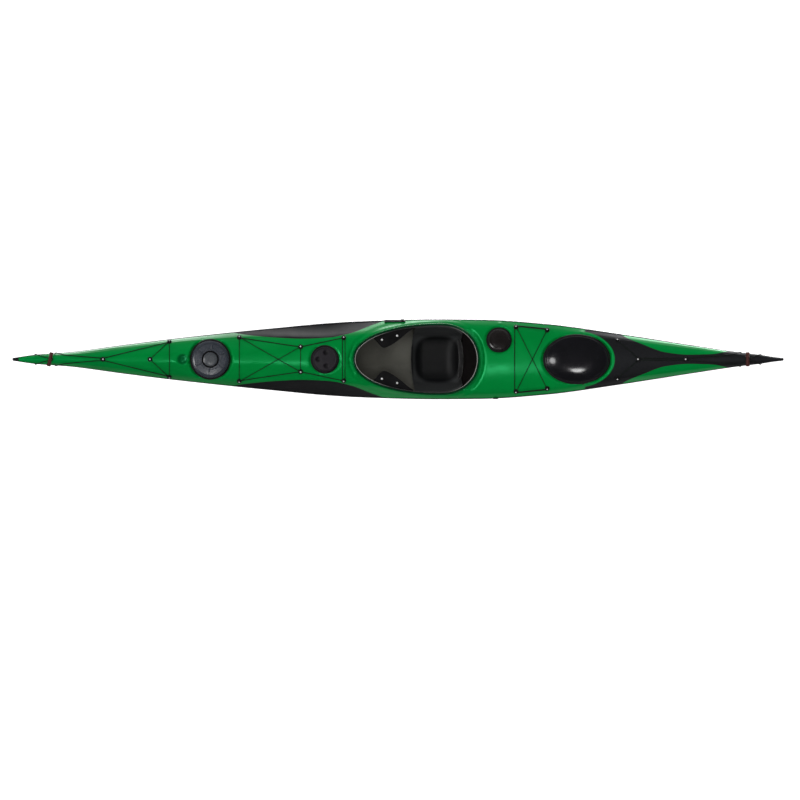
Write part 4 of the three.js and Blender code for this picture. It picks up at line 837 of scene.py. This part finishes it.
def make_deck():
    rows = deck_rows()

    def place(u, v):
        x, = on_line(rows, u)
        half = lines_at(x)["half"]
        y = (2 * v - 1) * half
        if abs(y) < half - FINE_STEP:
            x, y = drawn_to_outline(x, y, FINE_STEP * DRAWN_SHARE)
        return x, y, moulded_height(x, y)

    bm = formed(len(rows) - 1, DECK_COLUMNS, place)
    cut = []
    for face in bm.faces:
        middle = face.calc_center_median()
        if any(hole(middle.x, middle.y) < 0 for hole in (cockpit_hole, *hatch_holes.values())):
            cut.append(face)
    ops.delete(bm, geom=cut, context="FACES")
    if sum(face.normal.z for face in bm.faces) < 0:
        ops.reverse_faces(bm, faces=bm.faces)
    level = bm.verts.layers.float.new("panel")
    for vert in bm.verts:
        vert[level] = panel_level(vert.co.x, vert.co.y) + PANEL_GROWTH
    deck = finished("deck", bm, "boat", "deck", [green_deck, inner], "deck_shell")
    modified(deck, "SOLIDIFY", thickness=WALL, offset=-1, material_offset=1, material_offset_rim=1)


# Hull: keel to seam on both sides, with a wall, and the slot for the skeg

HULL_ROWS, HULL_COLUMNS = 300, 44


def make_hull():
    def place(u, v):
        along = 2 * u - 1
        x = HALF_LENGTH * (along + sin(along * pi / 2)) / 2
        out, up = bottom_point(lines_at(x), abs(2 * v - 1))
        return x, copysign(out, 2 * v - 1), up

    bm = formed(HULL_ROWS, HULL_COLUMNS, place)
    lowest = min(bm.faces, key=lambda face: face.calc_center_median().z)
    if lowest.normal.z > 0:
        ops.reverse_faces(bm, faces=bm.faces)
    hull = finished("hull", bm, "boat", "hull", [white_hull, inner], "hull_shell")
    modified(hull, "SOLIDIFY", thickness=WALL, offset=-1, material_offset=1)
    low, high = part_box("skeg_box")
    block = bmesh.new()
    ops.create_cube(block, size=1)
    ops.scale(block, vec=high - low, verts=block.verts)
    ops.translate(block, vec=(low + high) / 2, verts=block.verts)
    cutter = linked("slot", mesh_of("slot", block))
    modified(hull, "BOOLEAN", object=cutter, solver="EXACT")
    applied(hull)
    bpy.data.objects.remove(cutter)


# Seam band: a strip swept round the sheer, its section given as (out, up)

BAND_SECTION = mm([(-5.0, -6.5), (0.2, -7.5), (0.7, -7.0), (1.0, -5.2), (1.1, 0), (1.0, 5.2), (0.7, 7.0),
                   (0.2, 7.5), (-5.0, 6.5), (-5.0, -6.5)])
BAND_STEPS = 620
BAND_PROBE = 0.0004
TIP_SHARE = 0.001


def sheer_point(turn):
    """A point of the sheer for a turn of 0 to 1; the tips are rounded off in plan."""
    along, side = cos(2 * pi * turn), sin(2 * pi * turn)
    lines = lines_at(-HALF_LENGTH * along)
    near_tip = max(abs(along) - (1 - TIP_SHARE), 0) / TIP_SHARE
    half = lines["half"] * (1 - min(near_tip, 1) ** 4) ** 0.25
    return Vector((-HALF_LENGTH * along, copysign(half, side) if abs(side) > 1e-9 else 0, lines["seam"]))


def make_seam_band():
    def place(u, v):
        along = sheer_point((u + BAND_PROBE) % 1) - sheer_point((u - BAND_PROBE) % 1)
        out = Vector((-along.y, along.x, 0)).normalized()
        across, up = on_line(BAND_SECTION, v)
        return sheer_point(u % 1) + out * across + Vector((0, 0, up))

    bm = formed(BAND_STEPS, len(BAND_SECTION) - 1, place, wrap=True)
    finished("sheer_band", bm, "boat", "seam", [band_vinyl], "seam_band")


# Coaming: a rounded lip on its riser, swept round the cockpit; its section is (out, up) in
# millimetres from the lip's inner top edge

COAMING_STEPS = 264
COAMING_SECTION = [
    (0, -60), (0, -30), (0, -4), (0.4, -1.6), (1.6, -0.3), (3.4, 0), (4.6, -0.5), (5.6, -1.3),
    (7.0, -0.8), (8.6, -0.2), (12, 0.0), (15.5, -0.2), (18.2, -1.2), (19.7, -3.2), (20, -6), (19.6, -8.4),
    (18.4, -9), (17.2, -8.2), (16.6, -6.4), (14.6, -5.2), (8, -5), (5.4, -5.6), (4.5, -8), (4.5, -30),
    (4.5, -60), (0, -60),
]
EDGE_BANDS = range(2, 5)
LIP_BANDS = range(9, 19)
LIP_OUTER = 18


def make_coaming():
    bands = len(COAMING_SECTION) - 1

    def mark(bm, shares):
        for face in bm.faces:
            # Bands at the lip's inner top edge take the painted highlight; the lip bands take the lip's green
            # with its painted shade.
            band = int(shares(face.calc_center_median())[1] * bands)
            face.material_index = 2 if band in EDGE_BANDS else 0 if band in LIP_BANDS else 1
        inward = bm.verts.layers.float.new("inward")
        for vert in bm.verts:
            out = COAMING_SECTION[round(shares(vert.co)[1] * bands)][0]
            vert[inward] = min(max((LIP_OUTER - out) / LIP_OUTER, 0), 1)

    def place(u, v):
        out, up = mm(on_line(COAMING_SECTION, v))
        x, y = cockpit_point(2 * pi * u, out)
        return x, y, rim_height(x) + up

    bm = formed(COAMING_STEPS, bands, place, mark, wrap=True)
    finished("coaming", bm, "boat", "deck", [lip_green_painted_shade, black_moulding, lip_painted_highlight], "cockpit_coaming")


# Hatches: moulded rims and rubber covers, each made about its own middle

RIM_INNER_EDGE = mm([(0, -3), (1, -1), (4, 0)])
RIM_OUTER_EDGE = mm([(-7, 0), (-3.5, -0.8), (-1.2, -3), (0, -7)])
RIM_FOOT = mm([(0, 1), (-1, 0)])
RIM_INNER_FOOT = mm([(1, 0), (0, -1.3)])
RIM_DEPTH = mm(12)
RIM_STEPS, CUP_STEPS, COVER_STEPS, DISC_STEPS = 96, 80, 120, 96
CUP_DEPTH = mm(120)
CUP_INSIDE = mm([(-14, 3), (-7, 6), (-1, 16), (0, 30)])
CUP_OUTSIDE = mm([(4, 14), (-4, 1)])
DOME_STEPS = 18
DOME_CLEAR = mm(2.5)
COVER_SIDE = mm([(-0.3, -4.6), (0, -7)])
COVER_FOOT = mm([(0, 1.4), (-0.8, 0)])
PLUG_GAP = mm(0.6)
PLUG = mm([(0, 0), (0, -7), (-2, -9)])


def hatch_frame(hatch):
    return Matrix.Translation((hatch.x, hatch.y, hatch.floor)) @ Matrix.Rotation(hatch.tilt, 4, "X")


def oval_scale(hatch, out):
    """A round shape drawn in across the boat to the hatch's oval."""
    return Matrix.Diagonal((1, (hatch.ry + out) / (hatch.rx + out), 1, 1))


def placed_rim(name, hatch, profile, steps, node):
    bm = turned(profile, steps)
    bm.transform(hatch_frame(hatch) @ oval_scale(hatch, 0))
    crease(bm, 50)
    finished(name, bm, "boat", "moulded_black", [black_moulding], node)


def rim_top(hatch):
    """The part of a rim's profile that shows, from its opening to its foot."""
    opening, edge = hatch.rx - RIM_WIDTH, hatch.rx
    return (shifted(RIM_INNER_EDGE, opening, hatch.rim) + shifted(RIM_OUTER_EDGE, edge, hatch.rim)
            + shifted(RIM_FOOT, edge, FIT))


def make_rim(name):
    hatch = HATCHES[name]
    opening = hatch.rx - RIM_WIDTH
    low = [(opening + HATCH_WALL, -RIM_DEPTH), (opening, -RIM_DEPTH)]
    profile = low[1:] + rim_top(hatch) + shifted(RIM_INNER_FOOT, opening + HATCH_WALL, FIT) + low
    placed_rim(f"{name}_rim", hatch, profile, RIM_STEPS, f"{name}_hatch_rim")


def make_cup():
    """The pod hatch's rim with the cup that hangs from it."""
    hatch = HATCHES["pod"]
    opening = hatch.rx - RIM_WIDTH
    inside = shifted(CUP_INSIDE, opening, -CUP_DEPTH)
    outside = [(opening + HATCH_WALL, FIT)] + shifted(CUP_OUTSIDE, opening, -CUP_DEPTH)
    profile = [(0, inside[0][1]), *inside, *rim_top(hatch), *outside, (0, -CUP_DEPTH)]
    placed_rim("pod_cup", hatch, profile, CUP_STEPS, "pod_hatch_cup")


def cover_profile(hatch, drop, rolled, power):
    """Half section of a cover: domed top, rolled edge, flange and the plug that fits in the rim."""
    base = hatch.rim + FIT
    top = base + hatch.cover
    edge = hatch.rx - COVER_LEDGE
    dome_end = edge + rolled[0][0] - DOME_CLEAR
    shares = [i / DOME_STEPS for i in range(DOME_STEPS + 1)]
    return (
        [(dome_end * share, top - drop * share ** power) for share in shares]
        + shifted(rolled + COVER_SIDE, edge, top - drop) + shifted(COVER_FOOT, edge, base)
        + shifted(PLUG, hatch.rx - RIM_WIDTH - PLUG_GAP, base) + [(0, base + PLUG[-1][1])]
    )


# Each cover's rolled edge, from its dome out, as (out from its edge, up from its dome's end),
# how far its dome falls, and how late
ROLLS = {
    "front": mm([(-18, 4.6), (-16.6, 4.4), (-15, 3.9), (-3.2, 0.3), (-1.6, -0.9), (-0.8, -2.2)]),
    "pod": mm([(-6.5, 1.5), (-4, 0.6), (-1.6, -2.2)]),
    "day": mm([(-15, 1.2), (-13.6, 1.05), (-12, 0.6), (-3.2, -2.1), (-1.4, -3.4)]),
    "rear": mm([(-6.5, 1), (-4, 0.2), (-1.6, -2.2)]),
}
DOMES = {"front": (mm(4), 2), "pod": (mm(3.5), 2), "day": (mm(5), 2.6), "rear": (mm(17), 3)}


def make_cover(name, finishes, extra=(), slot="hatch_rubber"):
    hatch = HATCHES[name]
    drop, power = DOMES[name]
    bm = turned(cover_profile(hatch, drop, ROLLS[name], power), COVER_STEPS)
    bm.transform(oval_scale(hatch, -COVER_LEDGE))
    whole = joined([bm, *extra])
    whole.transform(hatch_frame(hatch))
    crease(whole, 42)
    return finished(f"{name}_cover", whole, f"{name}_cover", slot, finishes, f"{name}_hatch_cover")


def bar(size, middle, round_by):
    """A block with rounded edges."""
    bm = bmesh.new()
    ops.create_cube(bm, size=1)
    ops.scale(bm, vec=size, verts=bm.verts)
    ops.bevel(bm, geom=list(bm.edges), offset=round_by, segments=3, profile=0.5, affect="EDGES",
                    material=-1)
    ops.translate(bm, vec=middle, verts=bm.verts)
    return bm


COVER_RIBS = 6
FIRST_RIB = radians(24)
RIB_WIDTH, RIB_HEIGHT, RIB_ROUND, RIB_RISE, RIB_LAP = mm((9, 10, 3.6, -1, 2))
HUB_RADIUS = mm(60)
RIDGE_RADIUS, RIDGE_ROUND = mm((72, 2.5))
RIDGE_SIDES = 12
GROOVE = mm([(-12, -4), (-12, 0.8), (-1, 0.8), (0, -4), (-12, -4)])
DISC_TOP = mm([(0, 4.6), (24.5, 4.3), (45, 3.4), (47.8, 2.4), (49, -1), (0, -1)])


def make_front_cover():
    """Round cover with radial ribs between its rolled edge and a raised disc."""
    hatch = HATCHES["front"]
    top = hatch.rim + FIT + hatch.cover
    outer = hatch.rx - COVER_LEDGE + ROLLS["front"][0][0]
    ribs = []
    for i in range(COVER_RIBS):
        length, middle = outer - HUB_RADIUS - RIB_LAP, (outer + HUB_RADIUS + RIB_LAP) / 2
        rib = bar((length, RIB_WIDTH, RIB_HEIGHT), (middle, 0, top + RIB_RISE), RIB_ROUND)
        rib.transform(Matrix.Rotation(FIRST_RIB + 2 * pi * i / COVER_RIBS, 4, "Z"))
        ribs.append(rib)
    turns = [2 * pi * i / RIDGE_SIDES for i in range(RIDGE_SIDES + 1)]
    round_ridge = [(RIDGE_ROUND * cos(turn), RIDGE_ROUND * sin(turn)) for turn in turns]
    ridge = turned(shifted(round_ridge, RIDGE_RADIUS, top + RIB_RISE), DISC_STEPS)
    # The groove takes the near-black of its painted shade.
    groove = turned(shifted(GROOVE, HUB_RADIUS, top), DISC_STEPS, 1)
    disc = turned(shifted(DISC_TOP, 0, top), DISC_STEPS, 2)
    make_cover("front", [front_rubber, groove_shade_black, disc_rubber], [*ribs, ridge, groove, disc])


DIMPLE_OUT, DIMPLE_RADIUS, DIMPLE_DEPTH = mm((47, 22, 6))
DIMPLE_TURNS = (180, 82, -78)


def make_pod_cover():
    """Matt cover with three finger dimples, painted darker inside as painted shade."""
    hatch = HATCHES["pod"]
    piece = make_cover("pod", [pod_rubber])
    dimples = [Vector((hatch.x + DIMPLE_OUT * cos(turn), DIMPLE_OUT * sin(turn)))
               for turn in map(radians, DIMPLE_TURNS)]
    # The dip attribute paints shade into the dimples as well as marking their depth.
    dip = piece.data.attributes.new("dip", "FLOAT", "POINT")
    for vert in piece.data.vertices:
        if vert.co.z < hatch.floor + hatch.rim + hatch.cover / 2:
            continue
        for dimple in dimples:
            out = (vert.co.xy - dimple).length / DIMPLE_RADIUS
            if out < 1:
                dip.data[vert.index].value = (1 - out * out) ** 0.8
                vert.co.z -= DIMPLE_DEPTH * (1 - out * out) ** 2


def make_hatches():
    for name in ("front", "day", "rear"):
        make_rim(name)
    make_cup()
    make_front_cover()
    make_pod_cover()
    make_cover("day", [day_rubber], slot="day_rubber")
    make_cover("rear", [rear_rubber])


# Screws, deck fittings and cords

SCREW_HEIGHT_SHARE = 0.75
SCREW_SHARES = [(0, 0.45), (0.40, 0.45), (0.46, 0.98), (0.70, 0.86), (0.92, 0.5), (1, 0), (1, -1), (0, -1)]
SCREW_SINK, SCREW_RADIUS = mm((10.6, 5.6))
FITTING_PROFILE = mm([
    (0, 10.5), (6.2, 10.5), (6.6, 13.5), (8.2, 15.6), (10.5, 15.8), (12.6, 14.2), (14.6, 10.6), (15.4, 6),
    (17, 2.6), (17, -5), (0, -5),
])


def screw(radius):
    """A round-headed screw with a socket, its foot at zero, in the second finish."""
    high = radius * SCREW_HEIGHT_SHARE
    return turned([(radius * out, high * up) for out, up in SCREW_SHARES], 24, 1)


def make_fitting(node_name):
    """A moulded deck fitting: a low dome with a ring round its sunk screw."""
    low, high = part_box(node_name)
    x, y = (low.x + high.x) / 2, (low.y + high.y) / 2
    head = screw(SCREW_RADIUS)
    head.transform(Matrix.Translation((0, 0, SCREW_SINK)))
    bm = joined([turned(FITTING_PROFILE, 40), head])
    foot = Matrix.Translation((x, y, deck_height(lines_at(x), y)))
    bm.transform(foot @ Matrix.Rotation(-deck_slope(x, y), 4, "X"))
    crease(bm, 45)
    name = node_name.replace("deck_fitting", "fitting")
    finished(name, bm, "boat", "moulded_black", [black_moulding, screw_metal], node_name)


CORDS = {
    "bow_deck_line": "bow_line", "bow_bungee": "bow_shock_cord", "foredeck_bungee": "foredeck_shock_cord",
    "foredeck_deck_line": "foredeck_line", "front_cross_bungee": "front_cross_cord",
    "aft_bungee": "aft_shock_cord", "aft_cross_line": "aft_line", "stern_deck_line": "stern_line",
}


def make_rigging():
    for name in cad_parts:
        if name.startswith("deck_fitting_"):
            make_fitting(name)
    for node_name, name in CORDS.items():
        refined(name, node_name, "boat", "cord", cord, degrees=70)
    for end in ("bow", "stern"):
        refined(f"{end}_handle_loop", f"{end}_toggle_loop", f"{end}_handle", "cord", cord, degrees=70)


TOGGLE_RADIUS, TOGGLE_HALF = mm((14, 49))
TOGGLE_SHARES = [
    (0, -1), (0.62, -1), (0.86, -0.97), (0.98, -0.90), (1, -0.80), (0.97, -0.72), (0.84, -0.64),
    (0.83, -0.58), (0.92, -0.50), (0.90, -0.30), (0.80, -0.14), (0.78, 0),
]
TOGGLE_TURNS = {"bow": -13, "stern": 0}


def make_toggle(end):
    """A waisted grip with a groove near each end, turned about Z by some degrees."""
    low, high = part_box(f"{end}_toggle")
    half = [(out * TOGGLE_RADIUS, along * TOGGLE_HALF) for out, along in TOGGLE_SHARES]
    bm = turned(half + [(r, -y) for r, y in reversed(half[:-1])], 40)
    turn = Matrix.Rotation(radians(TOGGLE_TURNS[end]), 4, "Z")
    bm.transform(Matrix.Translation((low + high) / 2) @ turn @ Matrix.Rotation(pi / 2, 4, "X"))
    crease(bm, 50)
    finished(f"{end}_grip", bm, f"{end}_handle", "toggle", [toggle_moulding], f"{end}_toggle")


# Skeg

PIVOT = Vector(mm((1668, 0, 92)))
BLADE_REACH, BLADE_HALF_THICKNESS, BLADE_CORNER, BLADE_EDGE = mm((330, 4, 7, 3.4))
BLADE_SHARES = [
    (-0.060, 0.050), (-0.018, -0.080), (0.549, -0.779), (0.600, -0.800), (0.675, -0.779), (0.692, -0.720),
    (0.672, -0.600), (0.642, -0.488), (0.604, -0.385), (0.545, -0.270), (0.470, -0.160), (0.425, -0.065),
    (0.395, 0.020), (0.340, 0.080), (0.270, 0.110), (0.060, 0.098),
]


def make_blade():
    """The skeg's blade: a flat plate with both faces drawn in to thin edges."""
    bm = bmesh.new()
    inward = Vector((0, BLADE_HALF_THICKNESS, 0))
    bm.faces.new([bm.verts.new(PIVOT + Vector((x, 0, z)) * BLADE_REACH - inward) for x, z in BLADE_SHARES])
    ops.bevel(bm, geom=list(bm.verts), offset=BLADE_CORNER, segments=4, profile=0.5,
                    affect="VERTICES", material=-1)
    thick = ops.extrude_face_region(bm, geom=list(bm.faces))
    moved = [item for item in thick["geom"] if isinstance(item, bmesh.types.BMVert)]
    ops.translate(bm, vec=2 * inward, verts=moved)
    ops.recalc_face_normals(bm, faces=bm.faces)
    broad = [face for face in bm.faces if abs(face.normal.y) > 0.9]
    rims = list({edge for face in broad for edge in face.edges})
    ops.bevel(bm, geom=rims, offset=BLADE_EDGE, segments=4, profile=0.6, affect="EDGES", material=-1)
    crease(bm, 40)
    finished("blade", bm, "skeg", "skeg", [skeg_plastic], "skeg_blade")


# Cockpit fittings: seat, braces, foot rests, backband

SEAT_FRONT, SEAT_BACK, SEAT_SKEW, SEAT_FLOOR = mm((88, 424, 32, 46))
SEAT_PAN_HALF, SEAT_THICKNESS, SEAT_CHEEK = mm((166, 8, 30))
SEAT_FRONT_RISE, SEAT_BACK_RISE = mm((42, 60))
SEAT_CURL_TO, SEAT_CURL_FROM = 0.25, 0.7
SEAT_ROWS = 44
RISER_GAP = mm(0.5)


def under_riser(x):
    return rim_height(x) - RISER_DEPTH - RISER_GAP


def seat_section(along):
    """A ring of the seat as (out, up), from its middle over the pan to the brim and back below."""
    x = SEAT_FRONT + (SEAT_BACK - SEAT_FRONT) * along
    top = under_riser(x + SEAT_SKEW)
    out = opening_half(x + SEAT_SKEW) + RISER_THICKNESS / 2
    curl = max(1 - along / SEAT_CURL_TO, 0) ** 2 * SEAT_FRONT_RISE
    curl += max((along - SEAT_CURL_FROM) / (1 - SEAT_CURL_FROM), 0) ** 2 * SEAT_BACK_RISE
    floor = SEAT_FLOOR + curl
    pan = min(SEAT_PAN_HALF, out - SEAT_CHEEK)
    rise, under, brim = top - floor, floor - SEAT_THICKNESS, out - RISER_THICKNESS
    half = [
        (0, floor - 1 * MM), (pan * 0.45, floor - 1 * MM), (pan * 0.78, floor + rise * 0.015),
        (pan * 0.93, floor + rise * 0.10), (pan, floor + rise * 0.28),
        (pan + (out - pan) * 0.25, floor + rise * 0.62), (brim - 8 * MM, top - 14 * MM), (brim - 5 * MM, top),
        (out + 1 * MM, top), (out - 3 * MM, top - 16 * MM), (pan + SEAT_THICKNESS, floor + rise * 0.20),
        (pan * 0.93 + 4 * MM, under + 4 * MM), (pan * 0.70, under), (0, under),
    ]
    return x, half + [(-out, up) for out, up in reversed(half[:-1])]


def make_seat():
    def place(u, v):
        x, ring = seat_section(u)
        out, up = on_line(ring, v)
        return x + SEAT_SKEW * (out / COCKPIT_HALF) ** 2, out, up

    bm = formed(SEAT_ROWS, len(seat_section(0)[1]) - 1, place, wrap=True, cap=True)
    crease(bm, 60)
    soften(finished("seat", bm, "boat", "moulded_black", [seat_moulding], "seat_pan"), mm(3), 3, 50)


BRACE_FRONT, BRACE_BACK, BRACE_PEAK, BRACE_INNER = mm((-165, 104, -88, 80))
BRACE_DROOP, BRACE_THICKNESS, BRACE_OUTER, BRACE_END, BRACE_BEND = mm((12, 7, 19, 10, 6))
BRACE_TIP = mm([(5, 1), (1, -0.6), (0, -2.5), (3, -4.5)])
BRACE_ROWS = 60
BRACE_SCREWS = mm([(-111, 134), (-6, 163)])
BRACE_SCREW_RADIUS = mm(8)


def brace_lobe(x):
    reach = BRACE_PEAK - BRACE_FRONT if x < BRACE_PEAK else BRACE_BACK - BRACE_PEAK
    return cos(pi / 2 * min(abs(x - BRACE_PEAK) / reach, 1)) ** 1.3


def brace_ring(x):
    """A ring of the brace as (out, up), round its upper side to its tip and back below."""
    lobe, top, half = brace_lobe(x), under_riser(x), opening_half(x)
    reach = opening_half(BRACE_PEAK) - BRACE_END - BRACE_INNER
    tip = shifted(BRACE_TIP, half - BRACE_END - reach * lobe, top - BRACE_DROOP * lobe)
    outer, bend, low = half + BRACE_OUTER, half - BRACE_BEND, top - BRACE_THICKNESS
    return [(outer, top), (bend, top), *tip, (bend, low), (outer, low), (outer, top)]


def make_brace(name, side):
    """A drooping lobe bolted under the riser, with two bright screws."""
    def place(u, v):
        x = BRACE_FRONT + (BRACE_BACK - BRACE_FRONT) * u
        out, up = on_line(brace_ring(x), v)
        return x, side * out, up

    shapes = [formed(BRACE_ROWS, len(brace_ring(0)) - 1, place, wrap=True, cap=True)]
    crease(shapes[0], 50)
    for x, y in BRACE_SCREWS:
        bend = opening_half(x) - BRACE_BEND
        droop = BRACE_DROOP * brace_lobe(x) * (bend - y) / (opening_half(x) - BRACE_INNER)
        head = screw(BRACE_SCREW_RADIUS)
        head.transform(Matrix.Translation((x, side * y, under_riser(x) - droop)))
        shapes.append(head)
    finished(f"thigh_rest_{name}", joined(shapes), "boat", "moulded_black", [black_moulding, screw_metal],
             f"thigh_brace_{name}")


PAD_SHRINK = (0.86, 0.985, 0.96)
PAD_VOXEL, SWELL_LIMIT, SEAM_HALF, SEAM_DEPTH, SEAM_FRONT = mm((5, 4, 5, 3.2, 8))
SEAM_BACK_SHARE = 0.6
SWELL_STEPS = 20
SWELL_PRESSURE = 4
SEAM_SHARES = (0.30, 0.70)


def swollen(pad):
    """The pad blown up by simulation, each point by no more than the limit."""
    rest = [vert.co.copy() for vert in pad.data.vertices]
    settings = modified(pad, "CLOTH").settings
    settings.use_pressure = True
    settings.uniform_pressure_force = SWELL_PRESSURE
    settings.effector_weights.gravity = 0
    for step in range(SWELL_STEPS):
        bpy.context.scene.frame_set(step + 1)
    applied(pad)
    for vert, start in zip(pad.data.vertices, rest):
        moved = vert.co - start
        if moved.length > SWELL_LIMIT:
            vert.co = start + moved.normalized() * SWELL_LIMIT
    bpy.context.scene.frame_set(1)


def make_backband():
    """A cloth-covered pad, swollen by simulation, with two sewn rows."""
    low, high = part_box("backband")
    middle = (low + high) / 2
    bm = bmesh.new()
    bm.from_mesh(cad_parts["backband"].data)
    merged(bm)
    ops.scale(bm, vec=PAD_SHRINK, space=Matrix.Translation(-middle), verts=bm.verts)
    pad = finished("back_pad", bm, "back_support", "pad", [cloth], "backband")
    modified(pad, "REMESH", mode="VOXEL", voxel_size=PAD_VOXEL)
    applied(pad)
    swollen(pad)
    for vert in pad.data.vertices:
        for share in SEAM_SHARES:
            away = abs(vert.co.z - (low.z + (high.z - low.z) * share)) / SEAM_HALF
            if away < 1:
                inward = 1 if vert.co.x < middle.x - SEAM_FRONT else -SEAM_BACK_SHARE
                vert.co.x += (1 - away) ** 2 * SEAM_DEPTH * inward
    smoothed(pad)
    modified(pad, "SUBSURF", levels=1, render_levels=1)


# Pieces that keep their node's form: piece, node, body, slot, finish, width of the eased edge in
# millimetres, and the angle in degrees above which an edge is sharp
REFINED = [
    ("fore_bulkhead", "front_bulkhead", "boat", "inner", inner, 1.5, 34),
    ("middle_bulkhead", "day_bulkhead", "boat", "inner", inner, 1.5, 34),
    ("aft_bulkhead", "rear_bulkhead", "boat", "inner", inner, 1.5, 34),
    ("skeg_casing", "skeg_box", "boat", "skeg", skeg_plastic, 0.8, 34),
    ("skeg_pin", "skeg_pivot_pin", "boat", "steel", screw_metal, 0.4, 34),
    ("slider_track", "skeg_slider_track", "boat", "moulded_black", black_moulding, 1.2, 34),
    ("slider_knob", "skeg_slider_knob", "slider", "moulded_black", black_moulding, 1.2, 34),
    ("cable_tube", "skeg_cable_tube", "boat", "moulded_black", black_moulding, 0, 60),
    ("drain_plug", "side_plug", "boat", "moulded_black", black_moulding, 1, 34),
]


def make_cockpit_fittings():
    make_seat()
    for name, side in (("starboard", 1), ("port", -1)):
        make_brace(name, side)
        refined(f"foot_rail_{name}", f"footbrace_rail_{name}", "boat", "rail_metal", rail_metal, mm(0.8))
        refined(f"foot_rest_{name}", f"foot_pedal_{name}", f"pedal_{name}", "moulded_black", black_moulding,
                mm(1.2))
    make_backband()


def make_other_pieces():
    for *named, edge, degrees in REFINED:
        refined(*named, mm(edge), degrees)
    for end in TOGGLE_TURNS:
        make_toggle(end)
    make_blade()


# Stage, lights and camera

METRES_PER_PIXEL = mm(6.866)
IMAGE_PIXELS = 800
BOAT_ROW, BOAT_COLUMN = 359.3, 398
CAMERA_HEIGHT, CAMERA_REACH = 12, 60
FLOOR_HALF = 30
FLOOR_DROP = mm(2)
FLOOR_GREY = (0.80, 0.80, 0.80)
FLOOR_GLOW = 0.62
WHITE = (1, 1, 1)
# The bright card that only reflections see, laid in the floor: where it rises and falls across
# the boat, and the same along it, each as low, high, level there and level after
CARD_NEAR = (0.0, 0.30, 0.20, 4.4)
CARD_FAR = (0.60, 1.10, 1, 0.10)
CARD_GAP_X = -1.1
CARD_GAP = (0.1, 0.45, 0.45, 1.05)
CARD_STEPS = [(-0.5, -0.1, 0, 1.3), (1.0, 1.4, 0, 0.9)]
# The sky's level, from port to starboard and from its edge up
SKY_ACROSS = (-0.3, 0.9, 0.10, 0.60)
SKY_UP = (0.20, 0.80, 1, 0.06)
# Soft far lamps: strength, azimuth from the stern towards starboard, elevation and width in
# degrees, and whether reflections see them
SUNS = {
    "starboard_sun": (0.9, 100, 42, 30, False),
    "port_sun": (0.55, 285, 45, 40, False),
    "overhead_sun": (1.15, 90, 88, 30, False),
    "top_lamp": (0.15, 272, 80, 6, True),
    "bow_lamp": (0.80, 190, 56, 16, True),
    "bow_spark": (0.16, 186, 72, 8, True),
}


def make_floor():
    low, high = cad_box
    bm = bmesh.new()
    ops.create_grid(bm, x_segments=1, y_segments=1, size=FLOOR_HALF)
    ops.translate(bm, vec=(0, 0, low.z - FLOOR_DROP), verts=bm.verts)
    floor = linked("floor", mesh_of("floor", bm))
    material = bpy.data.materials.new("pale_floor")
    tree = Tree(material, bare=True)
    path = tree.node("LightPath")
    seen = tree.maths("MAXIMUM", path["Is Camera Ray"], path["Is Transmission Ray"])
    matt = tree.node("BsdfDiffuse", {"Color": FLOOR_GREY})[0]
    glow = tree.node("Emission", {"Color": WHITE, "Strength": tree.maths("MULTIPLY", seen, FLOOR_GLOW)})[0]
    both = tree.node("AddShader", {0: matt, 1: glow})[0]
    place = tree.axes(tree.place())
    along = tree.spread(tree.maths("ABSOLUTE", tree.maths("SUBTRACT", place["X"], CARD_GAP_X)), *CARD_GAP)
    for step in CARD_STEPS:
        along = tree.maths("ADD", along, tree.spread(place["X"], *step))
    across = tree.maths("MULTIPLY", *(tree.spread(place["Y"], *edge) for edge in (CARD_NEAR, CARD_FAR)))
    card = tree.node("Emission", {"Color": WHITE, "Strength": tree.maths("MULTIPLY", across, along)})[0]
    whole = tree.node("MixShader", {0: path["Is Glossy Ray"], 1: both, 2: card})[0]
    tree.node("OutputMaterial", {"Surface": whole})
    floor.data.materials.append(material)


def make_world():
    world = bpy.data.worlds.new("studio")
    bpy.context.scene.world = world
    tree = Tree(world, bare=True)
    way = tree.axes(tree.place())
    dome = tree.maths("MULTIPLY", tree.spread(way["Y"], *SKY_ACROSS), tree.spread(way["Z"], *SKY_UP))
    level = tree.maths("MAXIMUM", dome, tree.node("LightPath")["Is Camera Ray"])
    back = tree.node("Background", {"Color": WHITE, "Strength": level})[0]
    tree.node("OutputWorld", {"Surface": back})


def make_sun(name, strength, azimuth, elevation, width, mirrored):
    lamp = bpy.data.lights.new(name, "SUN")
    lamp.energy = strength
    lamp.angle = radians(width)
    sun = linked(name, lamp)
    a, e = radians(azimuth), radians(elevation)
    way = Vector((cos(a) * cos(e), sin(a) * cos(e), sin(e)))
    sun.rotation_euler = way.to_track_quat("Z", "Y").to_euler()
    sun.visible_glossy = mirrored


def make_camera():
    lens = bpy.data.cameras.new("camera")
    lens.type = "ORTHO"
    lens.ortho_scale = METRES_PER_PIXEL * IMAGE_PIXELS
    lens.clip_end = CAMERA_REACH
    camera = linked("camera", lens)
    right, up = IMAGE_PIXELS / 2 - BOAT_COLUMN, BOAT_ROW - IMAGE_PIXELS / 2
    camera.location = (right * METRES_PER_PIXEL, up * METRES_PER_PIXEL, CAMERA_HEIGHT)
    bpy.context.scene.camera = camera


make_camera()
make_deck()
make_hull()
make_seam_band()
make_coaming()
make_hatches()
make_rigging()
make_cockpit_fittings()
make_other_pieces()
make_floor()
make_world()
for name, settings in SUNS.items():
    make_sun(name, *settings)
bpy.context.scene.view_settings.view_transform = "Standard"
